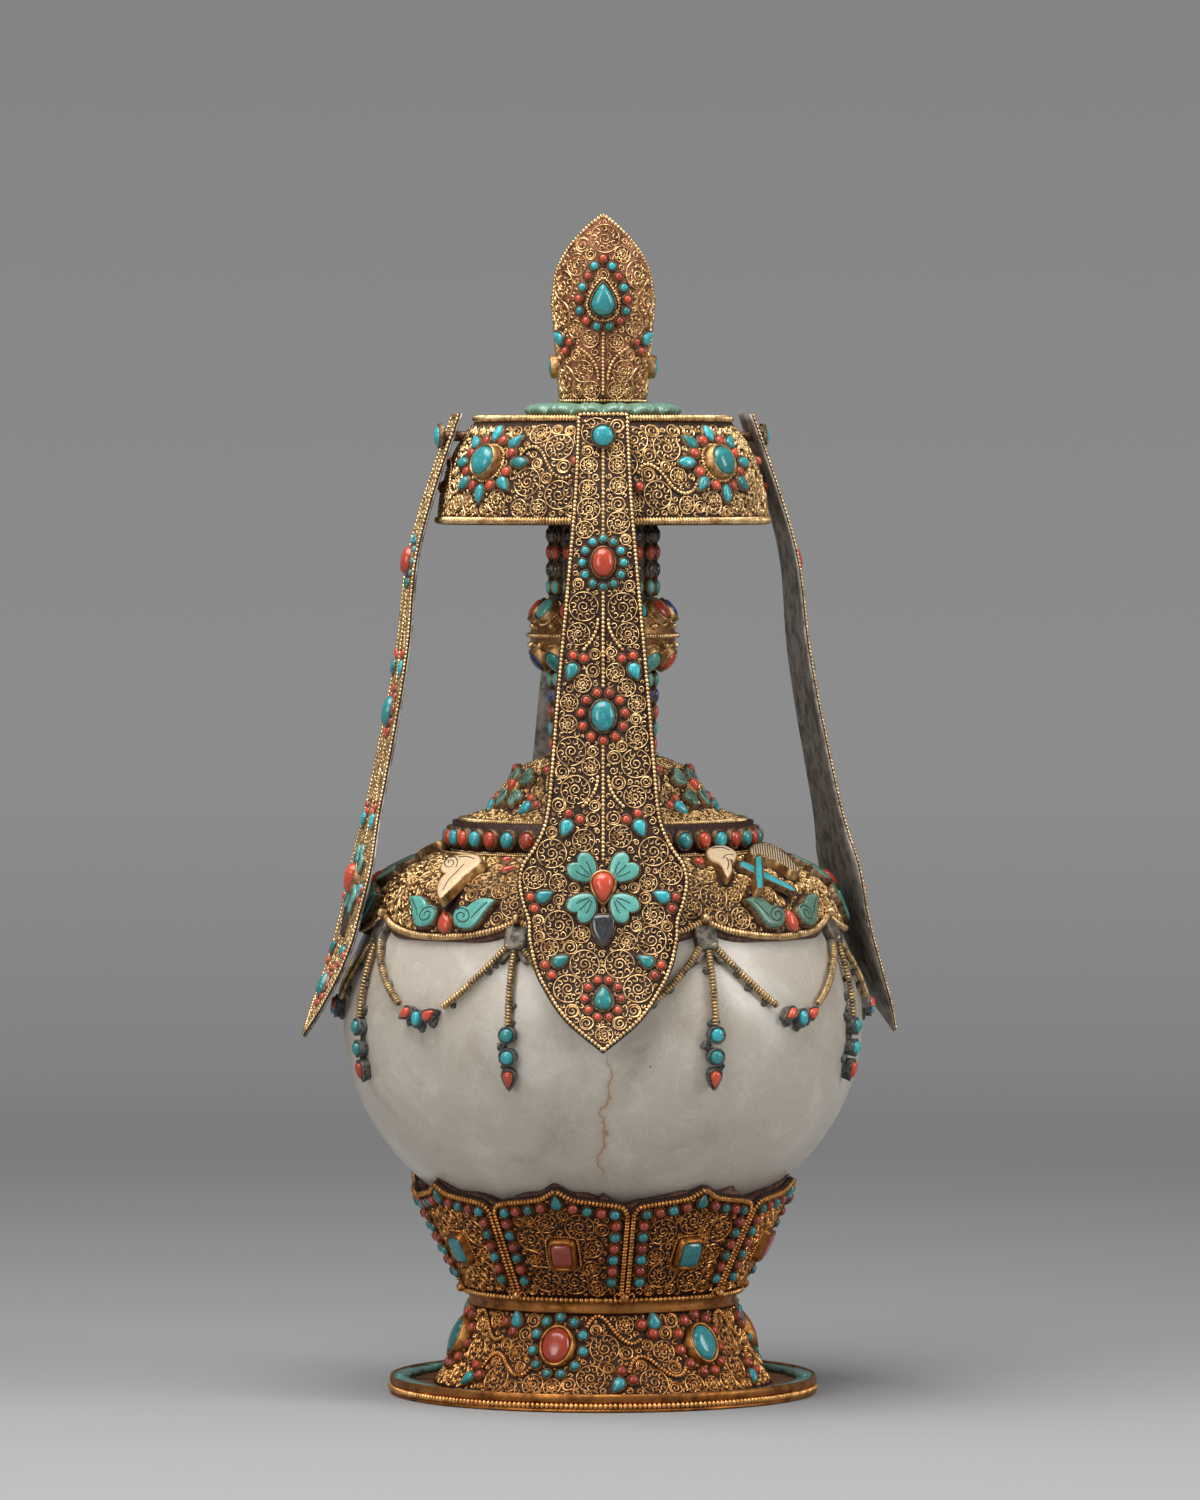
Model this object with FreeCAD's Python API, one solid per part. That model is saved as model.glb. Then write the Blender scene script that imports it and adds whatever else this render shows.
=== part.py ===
import FreeCAD, Part
import math
import os

# Tibetan bumpa vase: a rock crystal belly in gilt filigree mounts, closed by a stopper whose
# crown carries four hanging lappets. Millimetres, +Z up, front towards -Y, origin at the
# centre of the foot's underside. Azimuths are in degrees from the front, positive to the right.

V = FreeCAD.Vector
ORIGIN = V(0, 0, 0)
UP = V(0, 0, 1)

# Turned forms are drawn in this many flats, and only bores and pins are true rounds
turned_flats = 32

# Cut stones: sides of a large and of a small one, and how far they draw in towards the top
stone_side_count = 8
small_stone_side_count = 5
large_stone_rise = 3.0
small_stone_rise = 1.9
stone_top_share = 0.6
step_cut_share = 0.75
drop_round_start = 165.0
drop_round_turn = 210.0
drop_round_steps = 4

# Settings and raised ornaments
setting_thickness = 1.2
high_setting_thickness = 2.4
setting_top_share = 0.87
ornament_thickness = 2.2
ornament_top_share = 0.8

# Foot: flat flange, mosaic inlay, concave filigree cone
flange_radius = 64.5
flange_floor = 3.0
flange_rim_width = 1.5
flange_rim_rise = 2.5
inlay_width = 4.2
inlay_rise = 2.3
inlay_blocks = 24
inlay_joint = 0.3
foot_bottom_radius = 50.7
foot_top_radius = 39.6
foot_height = 24.0
foot_hollow = 1.7
foot_bands = 3
foot_rosettes = 6
foot_first_azimuth = -18.0
foot_stone_width = 8.7
foot_stone_height = 11.0
foot_stone_share = 0.6
foot_setting_margin = 0.8

# Waist plate and petal cup
waist_overhang = 0.4
waist_height = 4.0
cup_bottom_radius = 41.0
cup_tip_radius = 58.8
cup_height = 35.0
cup_wall = 1.2
petal_count = 8
petal_first_azimuth = -14.0
petal_valley_depth = 8.0
# Half a valley between two petals: share of the petal's half width and of the valley's depth
petal_edge = ((0.0, 1.0), (0.28, 0.65), (0.7, 0.455), (1.0, 0.0))
petal_rib_width = 2.4
petal_rib_depth = 1.4
petal_stone_width = 6.0
petal_stone_height = 7.5
petal_stone_share = 0.42
petal_setting_margin = 1.2
bedding_height = 26.0

# Crystal belly: an ellipsoid on a hidden foot cone, hollow for the water
crystal_radius = 78.0
crystal_half_height = 67.0
crystal_centre_rise = 81.0
crystal_lower_cut = 54.0
crystal_upper_cut = 39.0
crystal_bands = 7
cavity_radius = 60.0
cavity_floor_radius = 40.0
cavity_floor_rise = 35.0
cavity_side_rise = 64.0
cavity_side_height = 27.0
cavity_top_rise = 112.0
cavity_ceiling_radius = 14.0
bore_radius = 9.0

# Shoulder mount with eight lobes
shoulder_edge_overhang = 1.2
shoulder_edge_drop = 12.5
shoulder_mid_radius = 69.2
shoulder_mid_drop = 2.0
shoulder_upper_radius = 63.2
shoulder_upper_rise = 5.0
shoulder_top_reach = 2.4
shoulder_height = 12.0
lobe_count = 8
# Half a cusp between two lobes: share of the lobe's half width and of the cusp's rise
lobe_edge = ((0.0, 1.0), (0.25, 0.48), (0.6, 0.13), (1.0, 0.0))
cusp_first_azimuth = 24.5
cusp_rise = 5.5
scroll_length = 9.0
scroll_width = 5.0
scroll_spread = 7.0
# Comma-shaped leaf: shares of the scroll's length and width
scroll_outline = ((-0.5, -0.3), (-0.15, -0.5), (0.3, -0.2), (0.5, 0.5), (0.1, 0.18), (-0.35, 0.4))
shoulder_drop_width = 4.2
shoulder_drop_height = 5.6
shoulder_drop_rise = 3.8
emblem_azimuths = {"conch": (-43.0, 137.0), "comb": (47.0, -133.0)}
emblem_width = 12.0
emblem_height = 7.0
conch_outline = ((-0.45, -0.5), (0.0, -0.3), (0.5, 0.3), (0.25, 0.5), (-0.3, 0.35))

# Hanging swags and pendants of wire and stones
clip_width = 7.2
clip_height = 10.0
clip_thickness = 2.6
clip_rise = 1.1
swag_wire = 2.0
swag_gap = 0.6
swag_steps = 5
pendant_steps = 2
swag_fall = 24.0
swag_setting_width = 14.0
swag_setting_height = 5.0
swag_stone_offset = 4.6
small_stone = 3.8
pendant_width = 4.8
pendant_height = 19.0
pendant_centre_drop = 34.0
pendant_pitch = 6.2

# Collar with its ring of stones, neck and bulb
collar_radius = 45.2
collar_height = 9.0
collar_stones = 42
collar_first_azimuth = 5.5
collar_stone_size = 4.6
collar_stone_rise = 2.2
neck_foot_radius = 43.0
neck_slope_rise = 3.5
neck_drum_bottom_radius = 34.0
neck_drum_top_radius = 26.0
neck_drum_height = 11.5
neck_shoulder_rise = 5.0
neck_radius = 14.8
neck_length = 25.0
flower_count = 6
flower_first_azimuth = 0.0
flower_radius = 6.0
flower_waist = 0.52
# One notched petal: share of its half turn and of the flower's radius
flower_petal = ((-0.56, 0.92), (0.0, 0.82), (0.56, 0.92))
flower_thickness = 1.4
flower_stone = 3.6
bulb_radius = 21.5
bulb_cone_height = 8.5
bulb_belt_height = 4.0
bulb_neck_radius = 15.2
bulb_stones_per_row = 12
bulb_stone_width = 6.8
bulb_stone_height = 6.4
bulb_stone_rise = 3.2

# Stopper: plug, stem, crown, lotus and feather socket
plug_clearance = 0.05
plug_length = 16.0
stem_radius = 15.2
stem_length = 52.3
crown_top_radius = 38.4
crown_shoulder_radius = 48.3
crown_bottom_radius = 49.5
crown_wall_thickness = 1.5
crown_upper_height = 20.9
crown_lower_height = 9.8
crown_rim_height = 2.4
crown_rim_reach = 1.6
crown_plate_thickness = 1.2
crown_rosette_azimuths = (-48.0, 48.0, 132.0, -132.0)
crown_stone_width = 6.6
crown_stone_height = 8.8
crown_stone_drop = 12.5
crown_setting_margin = 0.9
lotus_radius = 23.5
lotus_petals = 16
lotus_petal_depth = 1.6
lotus_height = 5.3
finial_base_radius = 12.8
finial_wide_radius = 15.6
finial_top_radius = 12.6
finial_wall = 1.2
finial_side_height = 24.0
finial_wide_height = 32.0
finial_height = 56.6
# Middle of the leaf's edge: share of its half width and of its rise above the widest place
finial_leaf_middle = (0.66, 0.62)
finial_stone_width = 6.9
finial_stone_height = 9.6
finial_stone_level = 31.0

# Lappets: curved plates that swing on radial pins through the crown's wall
lappet_azimuths = {"front": 0.0, "right": 102.0, "back": 185.0, "left": -82.0}
lappet_thickness = 1.2
pin_drop = 4.4
pin_radius = 1.5
pin_clearance = 0.05
pin_washer_gap = 0.3
pin_washer_radius = 2.6
pin_washer_thickness = 1.0
pin_head_radius = 3.3
pin_head_thickness = 0.8
pin_head_reach = 1.9
pin_stone_rise = 2.0
lappet_setback = 5.7
lappet_rise = 2.5
# Plate's curve seen from the side: distance outwards and drop, both from its top edge
lappet_curve = (
    (0.0, 0.0),
    (8.7, 25.5),
    (13.8, 45.3),
    (16.5, 71.4),
    (22.2, 103.2),
    (31.6, 147.5),
    (37.2, 166.0),
    (46.5, 186.6),
)
# Plate's outline seen from the front: half width and drop from its top edge
lappet_outline = (
    (7.8, 0.0),
    (9.2, 32.0),
    (14.4, 89.0),
    (17.7, 124.0),
    (22.0, 132.0),
    (25.5, 138.0),
    (23.0, 157.0),
    (18.0, 171.5),
    (0.0, 186.6),
)
# Lappet's middle stones: drop from its top edge, or the low one's rise above the tip, width and height
lappet_coral_oval = (44.1, 6.6, 9.0)
lappet_turquoise_oval = (89.3, 7.2, 9.3)
lappet_flower_heart = (137.0, 7.0, 9.0)
lappet_low_stone = (15.6, 6.0, 8.0)
# Its side drops: offset and drop from the top edge
lappet_side_drops = ((9.6, 76.0), (11.4, 121.5), (17.7, 142.0), (12.6, 159.5))
lappet_side_drop_width = 3.6
lappet_side_drop_height = 5.4
lappet_flower_radius = 10.2
lappet_flower_waist = 0.5

# Levels that follow from the heights
foot_level = flange_floor
waist_level = foot_level + foot_height
cup_level = waist_level + waist_height
crystal_level = cup_level
crystal_centre = crystal_level + crystal_centre_rise
shoulder_level = crystal_centre + crystal_upper_cut
collar_level = shoulder_level + shoulder_height
neck_level = collar_level + collar_height
drum_level = neck_level + neck_slope_rise
drum_top = drum_level + neck_drum_height
tube_level = drum_top + neck_shoulder_rise
bulb_level = tube_level + neck_length
stem_level = bulb_level + 2 * bulb_cone_height + bulb_belt_height
crown_plate_level = stem_level + stem_length
crown_level = crown_plate_level + crown_plate_thickness
pin_level = crown_level - pin_drop
lappet_top = crown_level + lappet_rise
finial_level = crown_level + lotus_height


def polygon_face(corners):
    return Part.Face(Part.makePolygon(corners + corners[:1]))


def closed_solid(faces):
    """Solid inside a set of faces that meet edge to edge."""
    solid = Part.makeSolid(Part.makeShell(faces))
    if solid.Volume < 0:
        solid.reverse()
    return solid


def turned_form(outline):
    """Form turned about the axis in narrow flats, from a closed outline of (radius, height) points."""
    turns = [2 * math.pi * k / turned_flats for k in range(turned_flats)]
    rings = [[V(r * math.sin(a), -r * math.cos(a), z) for a in turns] for r, z in outline]
    faces = []
    for k, ring in enumerate(rings):
        following = rings[(k + 1) % len(rings)]
        radius, next_radius = outline[k][0], outline[(k + 1) % len(outline)][0]
        if radius and next_radius:
            for i in range(turned_flats):
                j = (i + 1) % turned_flats
                faces.append(polygon_face([ring[i], ring[j], following[j], following[i]]))
        elif radius or next_radius:
            faces.append(polygon_face(ring if radius else following))
    return closed_solid(faces).removeSplitter()


def bored(shape, bottom, top):
    """Piece with the round bore of the water's way and the plug."""
    return shape.cut(Part.makeCylinder(bore_radius, top - bottom, V(0, 0, bottom)))


def along(points, height):
    """Radius and unit direction, upwards, of a line of (radius, height) points at a height."""
    for (r0, z0), (r1, z1) in zip(points, points[1:]):
        if min(z0, z1) <= height <= max(z0, z1):
            break
    share = (height - z0) / (z1 - z0)
    length = math.copysign(math.hypot(r1 - r0, z1 - z0), z1 - z0)
    return r0 + share * (r1 - r0), (r1 - r0) / length, (z1 - z0) / length


def seated(shape, radius, height, direction, azimuth=0.0, offset=0.0):
    """Places a piece made lying on the XY plane against a surface, its +Z outwards, its +Y up."""
    side, up = direction
    placed = shape.copy()
    matrix = FreeCAD.Matrix(
        1, 0, 0, offset,
        0, -side, -up, -radius,
        0, up, -side, height,
        0, 0, 0, 1,
    )
    placed.Placement = FreeCAD.Placement(matrix).multiply(placed.Placement)
    placed.rotate(ORIGIN, UP, azimuth)
    return placed


def on_line(shape, points, height, azimuth=0.0, offset=0.0, lift=0.0):
    """Seats a piece on the surface whose outline is the line of (radius, height) points."""
    radius, side, up = along(points, height)
    return seated(shape, radius + lift * up, height - lift * side, (side, up), azimuth, offset)


def ellipse_points(width, height, sides):
    """Corners of an oval."""
    turn = 2 * math.pi / sides
    return [
        (width / 2 * math.cos((k + 0.5) * turn), height / 2 * math.sin((k + 0.5) * turn))
        for k in range(sides)
    ]


def drop_points(width, height):
    """Corners of a drop: round below, pointed above."""
    belly = -height / 2 + width / 2
    points = [(0.0, height / 2)]
    for k in range(drop_round_steps + 1):
        angle = math.radians(drop_round_start + drop_round_turn * k / drop_round_steps)
        points.append((width / 2 * math.cos(angle), belly + width / 2 * math.sin(angle)))
    return points


def flower_points(radius, waist, petals=4):
    """Corners of a flower whose notched petals lie on the diagonals."""
    points = []
    for k in range(petals):
        middle = (k + 0.5) * 2 * math.pi / petals
        for turn, reach in flower_petal:
            angle = middle + turn * math.pi / petals
            points.append((radius * reach * math.cos(angle), radius * reach * math.sin(angle)))
        gap = (k + 1) * 2 * math.pi / petals
        points.append((radius * waist * math.cos(gap), radius * waist * math.sin(gap)))
    return points


def tapered(points, thickness, top_share, base=0.0):
    """Solid between an outline and a smaller copy of it above, as a cut stone has."""
    low = [V(x, y, base) for x, y in points]
    high = [V(x * top_share, y * top_share, base + thickness) for x, y in points]
    faces = [polygon_face(low), polygon_face(high)]
    for k in range(len(points)):
        following = (k + 1) % len(points)
        faces.append(polygon_face([low[k], low[following], high[following], high[k]]))
    return closed_solid(faces)


def prism(points, thickness, base=0.0):
    """Upright plate with a straight edge all round."""
    return polygon_face([V(x, y, base) for x, y in points]).extrude(V(0, 0, thickness))


def turned(shape, azimuth):
    """Copy of a front piece, turned about the axis."""
    copy = shape.copy()
    copy.rotate(ORIGIN, UP, azimuth)
    return copy


def around(shape, count, first=0.0):
    """Copies of a front piece, turned evenly about the axis."""
    return [turned(shape, first + k * 360.0 / count) for k in range(count)]


def group(shapes):
    """One node of separate solids."""
    solids = [solid for shape in shapes for solid in shape.Solids]
    return Part.makeCompound(solids)


def foot_line():
    """Outline of the foot cone from bottom to top, hollowed by a shallow sine."""
    line = []
    for k in range(foot_bands + 1):
        share = k / foot_bands
        radius = foot_bottom_radius + share * (foot_top_radius - foot_bottom_radius)
        line.append((radius - foot_hollow * math.sin(math.pi * share), foot_level + share * foot_height))
    return line


def cup_line():
    """Outer outline of the petal cup."""
    return [(cup_bottom_radius, cup_level), (cup_tip_radius, cup_level + cup_height)]


def crystal_line():
    """Outline of the crystal from its foot to its flat top."""
    start = math.acos(crystal_lower_cut / crystal_half_height)
    end = math.acos(-crystal_upper_cut / crystal_half_height)
    line = [(cup_bottom_radius - cup_wall, crystal_level)]
    for k in range(crystal_bands + 1):
        angle = start + (end - start) * k / crystal_bands
        radius = crystal_radius * math.sin(angle)
        line.append((radius, crystal_centre - crystal_half_height * math.cos(angle)))
    return line


def shoulder_line():
    """Outer outline of the shoulder mount from its edge to the collar."""
    edge = shoulder_level - shoulder_edge_drop
    return [
        (along(crystal_line(), edge)[0] + shoulder_edge_overhang, edge),
        (shoulder_mid_radius, shoulder_level - shoulder_mid_drop),
        (shoulder_upper_radius, shoulder_level + shoulder_upper_rise),
        (collar_radius + shoulder_top_reach, collar_level),
    ]


def neck_line():
    """Outer outline of the neck from the collar to the bulb."""
    return [
        (neck_foot_radius, neck_level),
        (neck_drum_bottom_radius, drum_level),
        (neck_drum_top_radius, drum_top),
        (neck_radius, tube_level),
        (neck_radius, bulb_level),
    ]


def bulb_line():
    """Outer outline of the bulb: two cones and a belt."""
    belt = bulb_level + bulb_cone_height
    return [
        (bulb_neck_radius, bulb_level),
        (bulb_radius, belt),
        (bulb_radius, belt + bulb_belt_height),
        (bulb_neck_radius, stem_level),
    ]


def crown_line():
    """Outer outline of the crown's wall from its lower rim to its top."""
    shoulder = crown_level - crown_upper_height
    return [
        (crown_bottom_radius, shoulder - crown_lower_height),
        (crown_shoulder_radius, shoulder),
        (crown_top_radius, crown_level),
    ]


def foot_flange():
    rim_level = flange_floor + flange_rim_rise
    inner = flange_radius - flange_rim_width
    return turned_form([
        (0, 0), (flange_radius, 0), (flange_radius, rim_level), (inner, rim_level),
        (inner, flange_floor), (0, flange_floor),
    ])


def flange_inlay():
    """Mosaic ring of straight turquoise blocks laid inside the flange's rim."""
    half_turn = math.pi / inlay_blocks
    outer = (flange_radius - flange_rim_width - inlay_joint) * math.cos(half_turn)
    inner = outer - inlay_width
    gap = inlay_joint / 2
    block = prism([
        (inner * math.tan(half_turn) - gap, -inner), (outer * math.tan(half_turn) - gap, -outer),
        (gap - outer * math.tan(half_turn), -outer), (gap - inner * math.tan(half_turn), -inner),
    ], inlay_rise, flange_floor)
    return group(around(block, inlay_blocks))


def foot_cone():
    line = foot_line()
    return turned_form([(0, foot_level)] + line + [(0, waist_level)])


def stone(width, height, rise=large_stone_rise, sides=stone_side_count):
    """Oval cabochon in flats."""
    return tapered(ellipse_points(width, height, sides), rise, stone_top_share)


def drop(width, height, rise=large_stone_rise):
    """Drop-shaped cabochon in flats."""
    return tapered(drop_points(width, height), rise, stone_top_share)


def round_stone(size, rise=small_stone_rise):
    """Small round cabochon in flats."""
    return stone(size, size, rise, small_stone_side_count)


def foot_stone_level():
    return foot_level + foot_height * foot_stone_share


def foot_bezels():
    """Oval settings, each cut to the cone that it is soldered on."""
    margin = 2 * foot_setting_margin
    outline = ellipse_points(foot_stone_width + margin, foot_stone_height + margin, stone_side_count)
    setting = prism(outline, setting_thickness + 2 * foot_hollow, -2 * foot_hollow)
    placed = on_line(setting, foot_line(), foot_stone_level())
    cone = foot_cone()
    return group([bezel.cut(cone) for bezel in around(placed, foot_rosettes, foot_first_azimuth)])


def foot_stones(first):
    """Every second big oval of the foot."""
    oval = stone(foot_stone_width, foot_stone_height)
    placed = on_line(oval, foot_line(), foot_stone_level(), lift=setting_thickness)
    start = foot_first_azimuth + first * 360.0 / foot_rosettes
    return group(around(placed, foot_rosettes // 2, start))


def waist_plate():
    radius = cup_bottom_radius + waist_overhang
    return turned_form([(0, waist_level), (radius, waist_level), (radius, cup_level), (0, cup_level)])


def radial_prism(corners, near, far):
    """Block with a front outline of (offset, height) corners, reaching outwards from the axis."""
    return polygon_face([V(x, -near, z) for x, z in corners]).extrude(V(0, near - far, 0))


def mirrored(half_outline):
    """Whole outline from its right half, given from the middle outwards."""
    left = [(-x, z) for x, z in half_outline[::-1] if x > 0]
    return left + list(half_outline)


def petal_cup():
    """Flaring cup whose upper edge is cut into ogee petals."""
    outer = cup_line()
    inner = [(radius - cup_wall, height) for radius, height in outer]
    top = cup_level + cup_height
    half = cup_tip_radius * math.sin(math.pi / petal_count)
    notch = mirrored([(half * x, top - petal_valley_depth * depth) for x, depth in petal_edge])
    corners = [(-half, top + petal_valley_depth)] + notch + [(half, top + petal_valley_depth)]
    cutter = radial_prism(corners, cup_bottom_radius / 2, cup_tip_radius + petal_valley_depth)
    valleys = around(cutter, petal_count, petal_first_azimuth + 180.0 / petal_count)
    return turned_form(outer + inner[::-1]).cut(valleys)


def petal_ribs():
    """Raised bars between the petals, from the waist up to the valleys."""
    rise = cup_height - petal_valley_depth - 2 * petal_rib_depth
    _, _, up = along(cup_line(), cup_level)
    length = rise / up
    rib = prism(rectangle(petal_rib_width, length), petal_rib_depth)
    placed = on_line(rib, cup_line(), cup_level + petal_rib_depth + rise / 2)
    return group(around(placed, petal_count, petal_first_azimuth + 180.0 / petal_count))


def rectangle(width, height):
    x, y = width / 2, height / 2
    return [(-x, -y), (x, -y), (x, y), (-x, y)]


def petal_stone_level():
    return cup_level + petal_stone_share * cup_height


def petal_bezels():
    margin = 2 * petal_setting_margin
    outline = rectangle(petal_stone_width + margin, petal_stone_height + margin)
    setting = tapered(outline, setting_thickness, setting_top_share)
    placed = on_line(setting, cup_line(), petal_stone_level())
    return group(around(placed, petal_count, petal_first_azimuth))


def petal_stones(first):
    """Every second step-cut stone of the petals."""
    step_cut = tapered(rectangle(petal_stone_width, petal_stone_height), small_stone_rise, step_cut_share)
    placed = on_line(step_cut, cup_line(), petal_stone_level(), lift=setting_thickness)
    start = petal_first_azimuth + first * 360.0 / petal_count
    return group(around(placed, petal_count // 2, start))


def cup_bedding():
    """Resin packed between the crystal's foot and the flaring cup."""
    top = cup_level + bedding_height
    crystal = along(crystal_line(), top)[0]
    cup = along(cup_line(), top)[0] - cup_wall
    return turned_form([(cup_bottom_radius - cup_wall, cup_level), (cup, top), (crystal, top)])


def crystal_body():
    """Carved crystal with its water cavity and mouth."""
    floor = crystal_level + cavity_floor_rise
    side = crystal_level + cavity_side_rise
    ceiling = crystal_level + cavity_top_rise
    belly = turned_form([(0, crystal_level)] + crystal_line() + [(0, shoulder_level)])
    cavity = turned_form([
        (0, floor), (cavity_floor_radius, floor), (cavity_radius, side),
        (cavity_radius, side + cavity_side_height), (cavity_ceiling_radius, ceiling), (0, ceiling),
    ])
    return bored(belly.cut(cavity), ceiling, shoulder_level)


def shoulder_dome():
    """Domed mount that follows the crystal below and ends in eight hanging lobes."""
    edge = shoulder_level - shoulder_edge_drop
    crystal = crystal_line()
    covered = [(r, z) for r, z in crystal[::-1] if z > edge]
    inner = [(0, collar_level), (0, shoulder_level)] + covered + [(along(crystal, edge)[0], edge)]
    edge_radius = shoulder_line()[0][0]
    half = edge_radius * math.sin(math.pi / lobe_count)
    lobes = mirrored([(half * x, edge + cusp_rise * rise) for x, rise in lobe_edge])
    corners = [(-half, edge - cusp_rise)] + lobes + [(half, edge - cusp_rise)]
    cutter = radial_prism(corners, shoulder_upper_radius, edge_radius + cusp_rise)
    dome = turned_form(shoulder_line() + inner).cut(around(cutter, lobe_count, cusp_first_azimuth))
    return bored(dome, shoulder_level, collar_level)


def lobe_azimuth():
    return cusp_first_azimuth + 180.0 / lobe_count


def shoulder_scrolls():
    """Pair of turquoise scrolls at the foot of each lobe, their heads towards its middle."""
    height = shoulder_level - shoulder_edge_drop + cusp_rise
    placed = []
    for way in (1, -1):
        points = [(way * x * scroll_length, y * scroll_width) for x, y in scroll_outline]
        leaf = tapered(points[::way], ornament_thickness, ornament_top_share)
        placed.append(on_line(leaf, shoulder_line(), height, azimuth=way * scroll_spread))
    return group([copy for leaf in placed for copy in around(leaf, lobe_count, lobe_azimuth())])


def shoulder_drops():
    """Coral drop between the scrolls of each lobe."""
    height = shoulder_level - shoulder_edge_drop + shoulder_drop_rise
    coral = drop(shoulder_drop_width, shoulder_drop_height, small_stone_rise)
    return group(around(on_line(coral, shoulder_line(), height), lobe_count, lobe_azimuth()))


def shoulder_emblems():
    """Bone conches and combs on the front and back lobes."""
    height = shoulder_level + (shoulder_upper_rise - shoulder_mid_drop) / 2
    points = [(emblem_width * x, emblem_height * y) for x, y in conch_outline]
    conch = tapered(points, ornament_thickness, ornament_top_share)
    comb = prism(rectangle(emblem_width, emblem_height / 2), ornament_thickness)
    pieces = []
    for name, shape in (("conch", conch), ("comb", comb)):
        for azimuth in emblem_azimuths[name]:
            pieces.append(on_line(shape, shoulder_line(), height, azimuth))
    return group(pieces)


def clip_level():
    return shoulder_level - shoulder_edge_drop + clip_rise


def swag_clips():
    """Folded clips that hook the swags under the cusps."""
    clip = prism(rectangle(clip_width, clip_height), clip_thickness)
    placed = on_line(clip, crystal_line(), clip_level())
    dome = shoulder_dome()
    return group([copy.cut(dome) for copy in around(placed, lobe_count, cusp_first_azimuth)])


def wire_section(centre, heading, outwards):
    """Square outline of a wire, on edge, across its heading."""
    across = heading.cross(outwards).normalize() * (swag_wire / 2)
    out = outwards * (swag_wire / 2)
    corners = [centre + out, centre + across, centre - out, centre - across]
    return Part.makePolygon(corners + corners[:1])


def wire_along(stations):
    """Wire through (azimuth, height) stations a little off the crystal."""
    centres = []
    for azimuth, height in stations:
        radius = along(crystal_line(), height)[0] + swag_gap + swag_wire / 2
        turn = math.radians(azimuth)
        centres.append(V(radius * math.sin(turn), -radius * math.cos(turn), height))
    sections = []
    for k, centre in enumerate(centres):
        before = centres[max(k - 1, 0)]
        after = centres[min(k + 1, len(centres) - 1)]
        heading = (after - before).normalize()
        outwards = V(centre.x, centre.y, 0).normalize()
        outwards = (outwards - heading * outwards.dot(heading)).normalize()
        sections.append(wire_section(centre, heading, outwards))
    return Part.makeLoft(sections, True, True)


def swag_middle():
    return clip_level() - swag_fall


def swag_setting(thickness):
    setting = prism(rectangle(swag_setting_width, swag_setting_height), thickness)
    return on_line(setting, crystal_line(), swag_middle(), lift=swag_gap)


def pendant_setting(thickness):
    setting = prism(rectangle(pendant_width, pendant_height), thickness)
    level = clip_level() - pendant_centre_drop
    return seated(setting, crystal_radius + swag_gap, level, (0, 1))


def swag_wires():
    """Swags from clip to clip and the wires of the pendants, trimmed where they are soldered."""
    half = 180.0 / lobe_count
    rise = clip_level() - swag_middle()
    stations = []
    for k in range(swag_steps + 1):
        share = 2.0 * k / swag_steps - 1.0
        stations.append((share * half, swag_middle() + rise * share * share))
    clip = prism(rectangle(clip_width, clip_height), clip_thickness + swag_wire, -swag_wire)
    held = [on_line(clip, crystal_line(), clip_level(), azimuth=way * half) for way in (-1, 1)]
    swag = wire_along(stations).cut(held + [swag_setting(swag_wire * 2)])
    setting_top = clip_level() - pendant_centre_drop + pendant_height / 2
    fall = clip_level() - setting_top
    drops = [(0, clip_level() - fall * k / pendant_steps) for k in range(pendant_steps + 1)]
    ends = [on_line(clip, crystal_line(), clip_level()), pendant_setting(swag_wire * 2)]
    pendant = wire_along(drops).cut(ends)
    pendants = around(pendant, lobe_count, cusp_first_azimuth)
    return group(around(swag, lobe_count, lobe_azimuth()) + pendants)


def swag_settings():
    return group(
        around(swag_setting(setting_thickness), lobe_count, lobe_azimuth())
        + around(pendant_setting(setting_thickness), lobe_count, cusp_first_azimuth)
    )


def swag_stones(swag_places, pendant_places):
    """Small stones of the swags, by place from the middle, and of the pendants, from the top."""
    cabochon = round_stone(small_stone)
    lift = swag_gap + setting_thickness
    placed = []
    for place in swag_places:
        offset = place * swag_stone_offset
        seat = on_line(cabochon, crystal_line(), swag_middle(), offset=offset, lift=lift)
        placed += around(seat, lobe_count, lobe_azimuth())
    for place in pendant_places:
        level = clip_level() - pendant_centre_drop + (1 - place) * pendant_pitch
        seat = seated(cabochon, crystal_radius + lift, level, (0, 1))
        placed += around(seat, lobe_count, cusp_first_azimuth)
    return group(placed)


def collar_band():
    rim = [(collar_radius, collar_level), (collar_radius, neck_level)]
    band = turned_form([(0, collar_level)] + rim + [(0, neck_level)])
    return bored(band, collar_level, neck_level)


def collar_row(first):
    """Every second stone of the collar."""
    cabochon = round_stone(collar_stone_size, collar_stone_rise)
    placed = seated(cabochon, collar_radius, collar_level + collar_height / 2, (0, 1))
    start = collar_first_azimuth + first * 360.0 / collar_stones
    return group(around(placed, collar_stones // 2, start))


def neck():
    """Filigree cone and tube, bored for the plug."""
    form = turned_form([(0, neck_level)] + neck_line() + [(0, bulb_level)])
    return bored(form, neck_level, bulb_level)


def neck_flowers():
    level = drum_level + neck_drum_height / 2
    flower = prism(flower_points(flower_radius, flower_waist), flower_thickness)
    return group(around(on_line(flower, neck_line(), level), flower_count, flower_first_azimuth))


def neck_flower_centres():
    level = drum_level + neck_drum_height / 2
    placed = on_line(round_stone(flower_stone), neck_line(), level, lift=flower_thickness)
    return group(around(placed, flower_count, flower_first_azimuth))


def bulb():
    form = turned_form([(0, bulb_level)] + bulb_line() + [(0, stem_level)])
    return bored(form, bulb_level, stem_level)


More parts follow.
